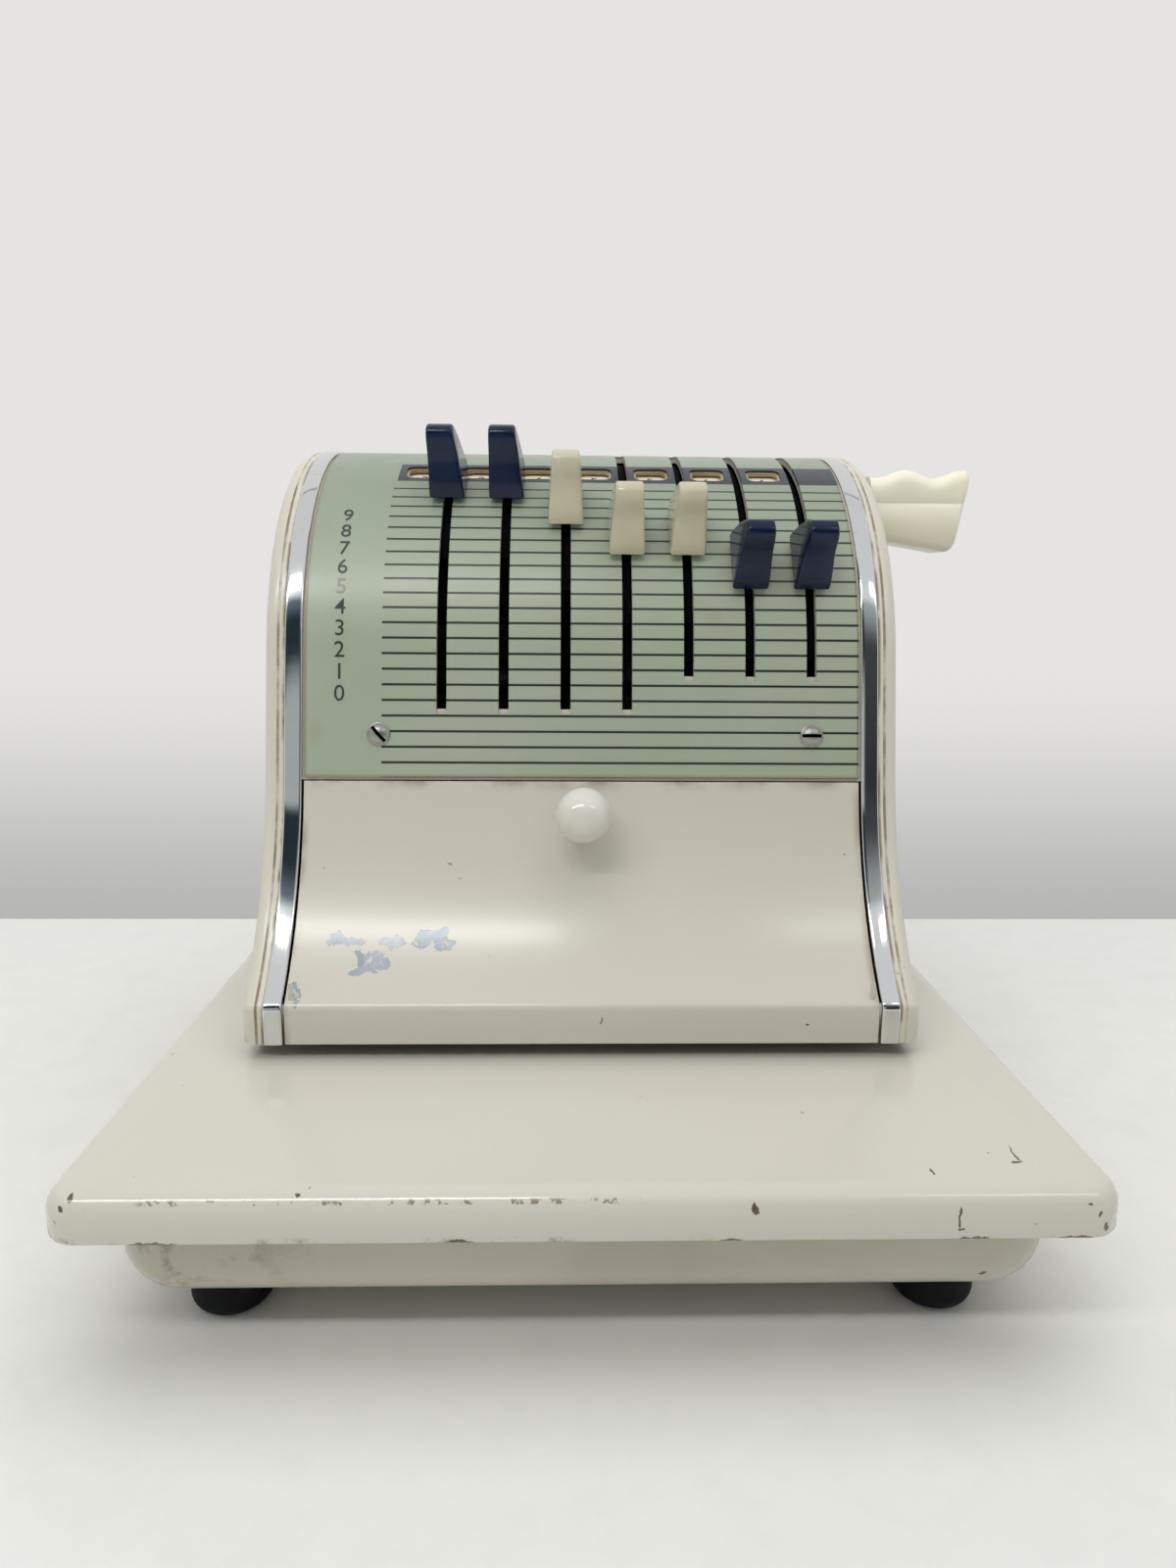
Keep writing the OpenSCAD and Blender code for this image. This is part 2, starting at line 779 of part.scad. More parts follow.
module case_screws() {
    color(chrome) placed() both_sides() for (p = case_screw_at)
        translate([head_half, p[0], p[1]]) rotate([0, 90, 0])
            dome_screw(7.5, 2, case_screw_d, head_half - frame_in);
}

module tie_rods() {
    color(steel) placed() for (p = [detent_c, front_tie_c, rear_tie_c]) {
        rod(-frame_out - 3, frame_out + 3, tie_d, p);
        both_sides() translate([frame_out, p[0], p[1]]) rotate([0, 90, 0])
            cylinder(d = tie_d + 4, h = 2.2, $fn = 6);
    }
}

// Levers ----------------------------------------------------------------------------

module lever_shaft() {
    color(steel) placed() {
        rod(-frame_out - 2.5, frame_out + 2.5, lever_shaft_d, head_c);
        both_sides() rod(frame_out, frame_out + 1.5, lever_shaft_d + 5, head_c);
    }
}

module lever_spacers() {
    ends = concat([-frame_in - hub_len / 2], lever_x, [frame_in + hub_len / 2]);
    color(chrome) placed() for (k = [0:LEVERS]) difference() {
        rod(ends[k] + hub_len / 2 + 0.1, ends[k + 1] - hub_len / 2 - 0.1, hub_d - 3, head_c);
        rod(ends[k], ends[k + 1], lever_shaft_d + 2 * seat, head_c);
    }
}

// A leaf spring for each lever, from an eye on the upper tie rod to the lever's hub.
module detent_springs() {
    d = detent_c - head_c;
    reach = norm(d);
    lean = atan2(-d[0], d[1]);
    color(steel) placed() for (x = lever_x) difference() {
        union() {
            rod(x - 2.8, x + 2.8, tie_d + 2, detent_c);
            across(x - 2.8, x + 2.8) translate(head_c) rotate(lean)
                translate([-0.3, hub_d / 2 + gap]) square([0.6, reach - hub_d / 2 - tie_d / 2 - gap - 0.5]);
        }
        rod(x - 4, x + 4, tie_d + 2 * seat, detent_c);
    }
}

// Everything within a wedge from angle a0 to a1, round the origin.
module wedge_2d(a0, a1) {
    polygon(concat([[0, 0]], [for (i = [0:4]) up(150, a0 + (a1 - a0) * i / 4)]));
}

// One lever drawn upright, seen from its side, with its axis at the origin.
module lever_2d() {
    gear_from = 180 - top_setting - (settings - 1) * lever_step - mesh_margin;
    first = ceil(gear_from * gear_teeth / 360);
    last = gear_teeth / 2 + 1;
    circle(d = hub_d);
    translate([-stem_w / 2, 0]) square([stem_w, head_r + stem_into_cap]);
    intersection() {
        circle(dial_out);
        wedge_2d(dial_back, dial_front);
    }
    polygon(concat([[0, 0]],
        [for (i = [first:last]) each tooth(gear_r, gear_teeth, i * 360 / gear_teeth)]));
}

// Puts an upright lever part on its axis, turned to its rest angle.
module at_lever(k) {
    placed() translate([lever_x[k - 1], head_c[0], head_c[1]]) rotate([rest_a[k - 1], 0, 0])
        children();
}

module lever_sector(k) {
    color(steel) at_lever(k) difference() {
        union() {
            across(-lever_wall / 2, lever_wall / 2) lever_2d();
            rod(-hub_len / 2, hub_len / 2, hub_d, [0, 0]);
        }
        rod(-hub_len, hub_len, lever_shaft_d + 2 * run, [0, 0]);
    }
}

module lever_dial(k) {
    color(aged_cream) at_lever(k) across(-dial_reach, -lever_wall / 2) intersection() {
        difference() {
            circle(dial_out);
            circle(dial_out - dial_wall);
        }
        wedge_2d(dial_back, dial_front);
    }
}

module cap_2d() {
    curve = [for (p = [cap_front, cap_top, cap_back]) each [for (i = [0:7]) bezier(p, i / 8)]];
    polygon([
        for (q = concat(curve, [[-cap_heel, 0]]))
            [-q[0], head_r + cap_foot + q[1] * (cap_h - cap_foot)]
    ]);
}

module lever_cap(k) {
    foot = head_r + cap_foot - 2;
    color(k > 2 && k < 6 ? grip_cream : navy) at_lever(k) difference() {
        intersection() {
            across(-cap_w / 2, cap_w / 2) cap_2d();
            rotate([90, 0, 0]) translate([0, 0, -cap_toe * 2]) linear_extrude(cap_toe * 4)
                polygon([
                    [-cap_w / 2, foot], [cap_w / 2, foot],
                    [cap_tip_w / 2, head_r + cap_h + 1], [-cap_tip_w / 2, head_r + cap_h + 1]
                ]);
        }
        across(-lever_wall / 2 - seat, lever_wall / 2 + seat)
            translate([-stem_w / 2 - seat, 0]) square([stem_w + 2 * seat, head_r + stem_into_cap + seat]);
    }
}

// Type ------------------------------------------------------------------------------

module type_shaft() {
    collar_d = type_shaft_d + 4;
    color(steel) placed() {
        rod(-frame_out - 1.5, frame_out + 1.5, type_shaft_d, type_c);
        rod(-frame_in + 0.2, lever_x[0] - pinion_w / 2 - type_w - 0.2, collar_d, type_c);
        rod(lever_x[LEVERS - 1] + lever_pitch - pinion_w / 2 - type_w, frame_in - 0.2, collar_d, type_c);
    }
}

module pinion_2d() {
    polygon([for (i = [0:pinion_teeth - 1]) each tooth(pinion_r, pinion_teeth, (i + 0.5) * 360 / pinion_teeth)]);
}

// A twelve-sided printing rim beside the pinion that its lever drives.
module type_wheel(k) {
    collar_end = lever_pitch - pinion_w / 2 - type_w - 0.2;
    color(steel) placed() translate([lever_x[k - 1], type_c[0], type_c[1]])
        rotate([-gear_ratio * rest_a[k - 1], 0, 0]) difference() {
            union() {
                across(-pinion_w / 2, pinion_w / 2) pinion_2d();
                across(-pinion_w / 2 - type_w, -pinion_w / 2)
                    rotate(gear_ratio * top_setting + 180 / type_faces)
                    circle(type_r, $fn = type_faces);
                rod(pinion_w / 2, collar_end, type_shaft_d + 4, [0, 0]);
            }
            rod(-type_w * 2, type_w * 2, type_shaft_d + 2 * run, [0, 0]);
        }
}

module ink_roller() {
    color(ink_felt) placed() {
        rod(print_from, print_to, roller_d, roller_c);
        rod(-frame_out - 1, frame_out + 1, roller_journal_d, roller_c);
    }
}

// Door ------------------------------------------------------------------------------

module front_door() {
    flange_r = door_sweep_r + 2;
    color(cream) placed() {
        difference() {
            across(-door_half, door_half) intersection() {
                skin_2d(0, door_wall);
                door_side_2d();
            }
            at_knob() translate([0, 0, -10]) cylinder(d = knob_stud_d + 2 * seat, h = 20);
        }
        both_sides() {
            across(flange_in, flange_in + flange_wall) {
                translate(hinge_c) circle(ear_r);
                intersection() {
                    head_2d(door_wall - 0.1);
                    translate(hinge_c) circle(flange_r);
                    translate([0, hinge_c[1]]) square([head_c[0], flange_r]);
                }
            }
            rod(frame_in - 0.4, flange_in + 0.1, hinge_pin_d, hinge_c);
        }
    }
}

// Puts its children on the door at the knob, pointing out of it.
module at_knob() {
    p = arc_c + door_arc_r * [cos(knob_a), -sin(knob_a)];
    translate([0, p[0], p[1]]) rotate([90 - knob_a, 0, 0]) children();
}

module door_knob() {
    color(knob_white) placed() at_knob() {
        translate([0, 0, knob_reach - knob_d / 2]) sphere(d = knob_d);
        translate([0, 0, seat]) cylinder(d = knob_neck_d, h = knob_reach - knob_d);
        translate([0, 0, -door_wall - 2.2]) cylinder(d = knob_stud_d, h = door_wall + 4);
        translate([0, 0, -door_wall - 2.2]) cylinder(d = knob_stud_d + 4, h = 2, $fn = 6);
    }
}

// Handle ----------------------------------------------------------------------------

module main_shaft() {
    color(steel) placed() {
        rod(-frame_out - 2, arm_out + 1.2, main_shaft_d, shaft_c);
        rod(head_half + gap, arm_in - seat, main_shaft_d + 5, shaft_c);
        rod(-frame_out - 2, -frame_out - gap, main_shaft_d + 4, shaft_c);
    }
}

module press_cams() {
    color(dark_steel) placed() both_sides() difference() {
        across(cam_in, cam_in + cam_wall) translate(shaft_c)
            polygon([for (a = [0:4:356]) up(cam_at(a), -a)]);
        rod(cam_in - 1, cam_in + cam_wall + 1, main_shaft_d + 2 * seat, shaft_c);
    }
}

// A torsion spring wound round the main shaft, as one unbroken coil.
module return_spring() {
    r = main_shaft_d / 2 + gap + spring_wire / 2;
    pitch = spring_wire + 0.7;
    x0 = -cam_in + 3;
    count = spring_turns * spring_rings;
    points = [for (i = [0:count], j = [0:spring_sides - 1])
        let (turn = 360 * i / spring_rings, side = 360 * j / spring_sides,
            q = r + spring_wire / 2 * cos(side))
        [x0 + pitch * i / spring_rings + spring_wire / 2 * sin(side),
            shaft_c[0] + q * cos(turn), shaft_c[1] + q * sin(turn)]];
    sides = [for (i = [0:count - 1], j = [0:spring_sides - 1])
        let (a = i * spring_sides, b = a + spring_sides, n = (j + 1) % spring_sides)
        each [[a + j, b + j, b + n], [a + j, b + n, a + n]]];
    start = [for (j = [1:spring_sides - 2]) [0, j, j + 1]];
    end = [for (j = [1:spring_sides - 2]) count * spring_sides * [1, 1, 1] + [0, j + 1, j]];
    color(steel) placed() polyhedron(points, concat(sides, start, end));
}

module handle_arm() {
    tang = grip_len - tang_short;
    color(steel) placed() difference() {
        union() {
            across(arm_in, arm_out) link_2d(shaft_c, arm_root_r, grip_c, arm_tip_r);
            rod(arm_out - 1, arm_out + tang, tang_d, grip_c);
        }
        rod(arm_in - 1, arm_out + 1, main_shaft_d + 2 * seat, shaft_c);
    }
}

// Front view of the grip: finger grooves along the top, a bottom that rises inward and
// a rounded outer corner.
module grip_2d() {
    top = grip_c[1] + grip_h / 2 - groove_depth / 2;
    low = grip_c[1] - grip_h / 2;
    start = arm_out + seat;
    steps = 28;
    bump = [for (i = [0:steps]) let (x = grip_len - seat - i * (grip_len - seat) / steps)
        [start + x, top + groove_depth / 2 * cos(360 * (grip_len - seat - x - 2.5) / groove_pitch)]];
    corner = 8;
    polygon(concat(bump, [[start, low + 5], [grip_end - corner, low], [grip_end - 2.5, low + 3],
        [grip_end, low + corner]]));
}

module handle_grip() {
    color(grip_cream) placed() difference() {
        intersection() {
            translate([0, grip_c[0] + grip_d / 2, 0]) rotate([90, 0, 0]) linear_extrude(grip_d)
                grip_2d();
            translate([0, grip_c[0], grip_c[1]]) across(arm_out, grip_end)
                round_rect(grip_d, grip_h, 9);
        }
        rod(arm_out - 1, grip_end - tang_short + 0.5, tang_d + 2 * seat, grip_c);
    }
}

// Platen ----------------------------------------------------------------------------

module platen() {
    color(dark_steel) placed() translate([print_from, type_c[0] - platen_d / 2, yoke_top])
        cube([print_to - print_from, platen_d, platen_top - yoke_top]);
}

// A beam under the platen, two arms back under the tray and two links up to the cams.
module platen_yoke() {
    beam_low = yoke_top - yoke_h;
    link_top = follower_c[1] + 7;
    beam_front = type_c[0] - platen_d / 2 - 2;
    color(steel) placed() {
        translate([-link_out, beam_front, beam_low]) cube([2 * link_out, platen_d + 4, yoke_h]);
        both_sides() {
            translate([link_in - 6, type_c[0], beam_low])
                cube([link_out - link_in + 6, shaft_c[0] + link_w / 2 - type_c[0], yoke_h]);
            difference() {
                translate([link_in, shaft_c[0] - link_w / 2, beam_low])
                    cube([link_out - link_in, link_w, link_top - beam_low]);
                across(link_in - 1, link_out + 1) translate(shaft_c) {
                    circle(d = main_shaft_d + 2 * gap);
                    translate([0, -platen_lift]) circle(d = main_shaft_d + 2 * gap);
                    translate([-main_shaft_d / 2 - gap, -platen_lift])
                        square([main_shaft_d + 2 * gap, platen_lift]);
                }
            }
            rod(cam_in, link_in + 1, 2 * follower_r, follower_c);
        }
    }
}

// Drawing ---------------------------------------------------------------------------

base_tray();
base_pan();
rubber_feet();
foot_screws();
neck_spacer();
throat_plate();
side_frame_left();
side_frame_right();
side_cover_left();
side_cover_right();
chrome_trim_left();
chrome_trim_right();
head_shell();
face_plate();
face_screws();
rear_cover();
case_screws();
tie_rods();
lever_shaft();
lever_spacers();
detent_springs();
type_shaft();
ink_roller();
front_door();
door_knob();
main_shaft();
press_cams();
return_spring();
handle_arm();
handle_grip();
platen();
platen_yoke();
for (k = [1:LEVERS]) {
    lever_sector(k);
    lever_dial(k);
    lever_cap(k);
    type_wheel(k);
}
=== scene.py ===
"""Looks of the desk check writer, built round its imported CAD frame.

Shapes are drawn in millimetres in the machine's own measure: X from the mid-plane, Y back
from the tray's front edge, Z up from the table. row() turns that into the frame's metres.
"""
import math

import bmesh
import bpy
from mathutils import Matrix, Vector, geometry

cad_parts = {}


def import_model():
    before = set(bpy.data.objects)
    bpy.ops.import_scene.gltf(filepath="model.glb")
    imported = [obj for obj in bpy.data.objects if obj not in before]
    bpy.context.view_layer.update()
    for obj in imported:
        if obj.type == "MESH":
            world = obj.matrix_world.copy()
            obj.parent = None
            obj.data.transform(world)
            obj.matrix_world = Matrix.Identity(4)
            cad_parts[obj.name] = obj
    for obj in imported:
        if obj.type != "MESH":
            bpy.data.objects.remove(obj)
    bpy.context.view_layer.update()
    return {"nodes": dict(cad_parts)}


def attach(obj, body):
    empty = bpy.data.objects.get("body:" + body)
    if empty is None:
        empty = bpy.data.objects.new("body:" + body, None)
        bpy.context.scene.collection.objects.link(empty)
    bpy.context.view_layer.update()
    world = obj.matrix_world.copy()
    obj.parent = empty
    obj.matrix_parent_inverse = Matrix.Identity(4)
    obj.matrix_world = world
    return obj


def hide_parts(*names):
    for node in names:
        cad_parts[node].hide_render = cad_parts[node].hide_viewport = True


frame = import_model()

# Sizes in mm: those of the solids, as in the part's source, and those that only the scene
# has. A name that ends in _A is an angle in degrees, forward of upright, and one that ends
# in _S is a distance up the plate's flat layout.
MID = (9.9, 161.0)
TRAY_W, TRAY_D, TRAY_TOP = 254.0, 322.0, 51.0
SKIRT, TRAY_R, TRAY_CORNER, TRAY_WALL, TRAY_BEAD = 12.3, 6.0, 9.0, 2.0, 0.8
TRAY_LOW = TRAY_TOP - SKIRT
PRINT_OPEN_Y, LINK_OPEN_X, LINK_OPEN_Y = (183.4, 207.4), (77.0, 81.6), (243.3, 265.3)
PAN_IN, PAN_LOW, PAN_TOP, PAN_WALL = 9.5, 14.0, 49.0, 1.8
PAN_R, PAN_CORNER = 14.0, 18.0
FOOT_AT, FOOT_D, FOOT_H, FOOT_R = (94.0, 126.0), 21.8, 14.0, 4.5
HEAD_LOW, HEAD_FRONT, HEAD_HALF = 55.8, 70.0, 100.3
RIM_IN, TRIM_IN, FACE_HALF, DOOR_HALF = 93.5, 88.0, 87.2, 87.4
RIM_R, SEAM_X, COVER_WALL = 4.8, 95.0, 2.0
SKIN, PLATE_WALL, PLATE_GAP, REAR_HALF = 1.5, 0.8, 1.2, 87.9
R = 84.2
HC = Vector((195.4, 152.2))
LEAN, FLAT, ARC_R, CREASE_R = math.radians(10.8), 41.0, 106.0, 3.0
LEVERS, LEVER_MID, LEVER_PITCH = 7, 13.8, 19.46
LEVER_X = [LEVER_MID + (k - 3) * LEVER_PITCH for k in range(LEVERS)]
WHEEL_FIGURES, GEAR, TOP_A = 12, 3.8, 11.5
STEP_A = 360 / WHEEL_FIGURES / GEAR
REST_A = [TOP_A + n * STEP_A for n in (3, 3, 4, 5, 5, 6, 6)]
CREAM_CAPS = (2, 3, 4)
CAP_LEAN = [-2.0, -1.4, -0.2, 0.1, 0.2, 0.7, 0.6]
PRINT_OPEN_X = (LEVER_X[0] - 19.0, LEVER_X[-1] + 8.0)
SLOT_W, SLOT_TOP_A, LONG_SLOTS, SLOT_LOW_S = 3.2, 2.0, 4, (21.25, 31.9)
WIN_LEFT, WIN_A, WIN_W, WIN_H = 9.73, 28.4, 11.8, 9.4
STRIP_R, STRIP_IN_R, STRIP_EDGE, STRIP_END = 81.6, 80.85, 0.15, 4.2
FACE_SCREW, FACE_SCREW_S, CASE_SCREW = (7.3, 2.0), 14.7, (7.5, 2.0)
SHAFT = Vector((254.3, 106.0))
ARM_LEN, ARM_LEAN = 126.0, math.radians(28)
ARM_IN, ARM_OUT, GRIP_END = 103.3, 108.3, 146.8
HINGE = Vector((76.5, 62.8))
KNOB_BELOW, KNOB_R, KNOB_OUT = 11.5, 8.6, 11.4

# The camera, fitted to the photograph: its focal length and frame in pixels, its place
# in mm and its turns in degrees. The stage is in metres.
FOCAL, FRAME_H, SENSOR = 1062.95, 1600, 36
CAM_AT, CAM_TURN = (-6.88, -216.96, 187.84), (10.703, 1.496, 0.48)
TABLE_BACK, TABLE_EDGE, WALL_Y = 0.197, 0.03, 1.0


def up(r, a):
    """A (Y, Z) step of r, at an angle in degrees forward of upright."""
    a = math.radians(a)
    return Vector((-r * math.sin(a), r * math.cos(a)))


FLAT_N = Vector((-math.cos(LEAN), math.sin(LEAN)))
FLAT_T = Vector((math.sin(LEAN), math.cos(LEAN)))
ARC_START = 90 - math.degrees(LEAN)
DOOR_TOP = HC + up(R, ARC_START) - FLAT * FLAT_T
ARC_C = DOOR_TOP + ARC_R * FLAT_N
CREASE_C = Vector((HEAD_FRONT + CREASE_R, ARC_C.y - math.sqrt(
    (ARC_R + CREASE_R) ** 2 - (HEAD_FRONT + CREASE_R - ARC_C.x) ** 2)))
GRIP_C = SHAFT + up(ARM_LEN, math.degrees(ARM_LEAN))


def row(x, y, z):
    """The frame's metres for a point in the machine's millimetres."""
    return Vector(((x - MID[0]) / 1000, (y - MID[1]) / 1000, z / 1000))


# Mesh helpers ------------------------------------------------------------------------
def linked(name, data):
    ob = bpy.data.objects.new(name, data)
    bpy.context.collection.objects.link(ob)
    return ob


def piece(name, verts, faces, body, slot, material, replaces=(), sharp=35):
    """A welded mesh on one body, with hard edges where it turns by more than sharp degrees."""
    me = bpy.data.meshes.new(name)
    me.from_pydata([row(*v) for v in verts], [], faces)
    bm = bmesh.new()
    bm.from_mesh(me)
    bmesh.ops.remove_doubles(bm, verts=bm.verts, dist=2e-6)
    bmesh.ops.recalc_face_normals(bm, faces=bm.faces)
    limit = math.radians(sharp)
    for f in bm.faces:
        f.smooth = True
    for e in bm.edges:
        if len(e.link_faces) == 2 and e.calc_face_angle(0) > limit:
            e.smooth = False
    bm.to_mesh(me)
    bm.free()
    me.materials.append(material)
    ob = linked(name, me)
    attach(ob, body)
    for n in replaces:
        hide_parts(n)
    return ob


def grid(rings, closed_rings=True, caps=(True, True)):
    """Faces over a list of rings of equal length."""
    n = len(rings[0])
    verts = [v for ring in rings for v in ring]
    faces = []
    last = n if closed_rings else n - 1
    for i in range(len(rings) - 1):
        for j in range(last):
            a, b = i * n + j, i * n + (j + 1) % n
            faces.append((a, b, b + n, a + n))
    if caps[0]:
        faces.append(tuple(range(n - 1, -1, -1)))
    if caps[1]:
        faces.append(tuple(range((len(rings) - 1) * n, len(rings) * n)))
    return verts, faces


def merge(*parts):
    verts, faces = [], []
    for v, f in parts:
        base = len(verts)
        verts += v
        faces += [tuple(i + base for i in q) for q in f]
    return verts, faces


def arc_pts(c, r, a0, a1, n):
    """Points of an arc, with angles in degrees forward of upright."""
    return [c + up(r, a0 + (a1 - a0) * i / n) for i in range(n + 1)]


def angle_of(v):
    """Angle forward of upright of a direction."""
    return math.degrees(math.atan2(-v.x, v.y))


def lip_pts(d):
    """The door's outline from its lower edge up, d outside the surface."""
    i = -d
    x = HEAD_FRONT + i
    if i > CREASE_R - 0.1:
        tip = Vector((x, ARC_C.y - math.sqrt((ARC_R + i) ** 2 - (x - ARC_C.x) ** 2)))
        bend = [tip] * 7
    else:
        bend = arc_pts(CREASE_C, CREASE_R - i, 90, angle_of(ARC_C - CREASE_C), 6)
        tip = bend[-1]
    a0 = angle_of(tip - ARC_C)
    a1 = angle_of(-FLAT_N)
    if a0 < a1:
        a0 += 360
    arc = arc_pts(ARC_C, ARC_R + i, a0, a1 + (360 if a0 - a1 > 180 else 0), 44)
    return [Vector((x, HEAD_LOW)), Vector((x, (HEAD_LOW + bend[0].y) / 2))] + bend + arc[1:]


def back_pts(d):
    """The straight back of the outline, from the head's curve down."""
    return [Vector((HC.x + R + d, HC.y + (HEAD_LOW - HC.y) * i / 6)) for i in range(1, 7)]


def whole_pts(d):
    """The head's whole outline from the door's lower edge over to the back."""
    flat = [DOOR_TOP + FLAT * i / 8 * FLAT_T + d * FLAT_N for i in range(1, 9)]
    return lip_pts(d) + flat + arc_pts(HC, R + d, ARC_START, -90, 110)[1:] + back_pts(d)


def strip(path, section):
    """Sweeps a closed section of (depth outward, X) along a path of the head's outline."""
    rings = []
    cols = [path(d) for d, _ in section]
    for j in range(len(cols[0])):
        rings.append([(x, cols[i][j].x, cols[i][j].y) for i, (_, x) in enumerate(section)])
    return grid(rings)


def quarter(n):
    """The angles of a quarter turn in n steps."""
    return [math.pi / 2 * i / n for i in range(n + 1)]


def rounded(wall, half, r):
    """A section of a skin as thick as wall, with its outer corners rounded by r."""
    out = [(-wall, -half)]
    out += [(-r + r * math.sin(a), r - half - r * math.cos(a)) for a in quarter(4)]
    out += [(-r + r * math.cos(a), half - r + r * math.sin(a)) for a in quarter(4)]
    return out + [(-wall, half)]


def lathe(profile, place, n=48):
    """Turns (radius, height) points about the axis of place; place maps local mm to mm."""
    rings = []
    turns = [2 * math.pi * i / n for i in range(n)]
    for r, h in profile:
        rings.append([tuple(place @ Vector((r * math.cos(a), r * math.sin(a), h))) for a in turns])
    return grid(rings)


def frame_at(p, out, side=(1, 0, 0)):
    """A local frame at p with its Z along out and its X along side."""
    out = Vector(out).normalized()
    y = out.cross(Vector(side)).normalized()
    x = y.cross(out)
    m = Matrix((x, y, out)).transposed().to_4x4()
    m.translation = Vector(p)
    return m


def cut(ob, cutter):
    """Takes one object out of another and keeps the first as a plain mesh."""
    mod = ob.modifiers.new("cut", "BOOLEAN")
    mod.object, mod.operation, mod.solver = cutter, "DIFFERENCE", "EXACT"
    mod.material_mode = "TRANSFER"
    dg = bpy.context.evaluated_depsgraph_get()
    me = bpy.data.meshes.new_from_object(ob.evaluated_get(dg))
    ob.modifiers.clear()
    ob.data = me
    bpy.data.objects.remove(cutter, do_unlink=True)


def plain_box(name, m, size):
    me = bpy.data.meshes.new(name)
    c = [Vector((sx * size[0] / 2, sy * size[1] / 2, sz * size[2] / 2))
         for sx in (-1, 1) for sy in (-1, 1) for sz in (-1, 1)]
    me.from_pydata([row(*(m @ v)) for v in c], [], [
        (0, 1, 3, 2), (4, 6, 7, 5), (0, 4, 5, 1), (2, 3, 7, 6), (0, 2, 6, 4), (1, 5, 7, 3)])
    ob = linked(name, me)
    return ob


def holed(outline, holes, lines=()):
    """A flat sheet with holes as triangles in its own plane."""
    pts, edges = [], []

    def loop(ps, close=True):
        base, n = len(pts), len(ps)
        pts.extend(Vector(p) for p in ps)
        edges.extend((base + i, base + (i + 1) % n) for i in range(n if close else n - 1))

    loop(outline)
    for h in holes:
        loop(h)
    for ln in lines:
        loop(ln, False)
    vs, _, fs = geometry.delaunay_2d_cdt(pts, edges, [], 0, 1e-5)[:3]

    def inside(p, poly):
        hit = False
        for i in range(len(poly)):
            a, b = poly[i], poly[i - 1]
            if (a[1] > p.y) != (b[1] > p.y):
                if p.x < (b[0] - a[0]) * (p.y - a[1]) / (b[1] - a[1]) + a[0]:
                    hit = not hit
        return hit

    keep = []
    for f in fs:
        c = sum((vs[i] for i in f), Vector((0, 0))) / len(f)
        if inside(c, outline) and not any(inside(c, h) for h in holes):
            keep.append(tuple(f))
    return vs, keep


def thick(vs, fs, top, low):
    """Makes a holed sheet solid between two mappings of its plane."""
    n = len(vs)
    verts = [top(v) for v in vs] + [low(v) for v in vs]
    faces = list(fs) + [tuple(i + n for i in reversed(f)) for f in fs]
    edges = [(f[i], f[(i + 1) % len(f)]) for f in fs for i in range(len(f))]
    known = set(edges)
    faces += [(b, a, a + n, b + n) for a, b in edges if (b, a) not in known]
    return verts, faces


def rect(x0, x1, y0, y1):
    return [(x0, y0), (x1, y0), (x1, y1), (x0, y1)]


def corner(x, y, r, a0, n):
    """A quarter arc that starts at a0 degrees."""
    turns = [math.radians(a0 + 90 * i / n) for i in range(n + 1)]
    return [(x + r * math.cos(a), y + r * math.sin(a)) for a in turns]


def round_rect(cx, cy, w, h, r, n):
    out = []
    for sx, sy, a0 in ((1, 1, 0), (-1, 1, 90), (-1, -1, 180), (1, -1, 270)):
        out += corner(cx + sx * (w / 2 - r), cy + sy * (h / 2 - r), r, a0, n)
    return out


def rect_ring(w, d, r, z, inset):
    """A ring of points round a rectangle in plan, inset from its size."""
    r = max(r - inset, 0.6)
    return [(x, y, z) for x, y in round_rect(0, TRAY_D / 2, w - 2 * inset, d - 2 * inset, r, 8)]


# Materials ---------------------------------------------------------------------------
def lin(hexa):
    """A linear colour from its sRGB hex digits."""
    v = [int(hexa[i:i + 2], 16) / 255 for i in (0, 2, 4)]
    return tuple(c / 12.92 if c <= 0.04045 else ((c + 0.055) / 1.055) ** 2.4 for c in v) + (1,)


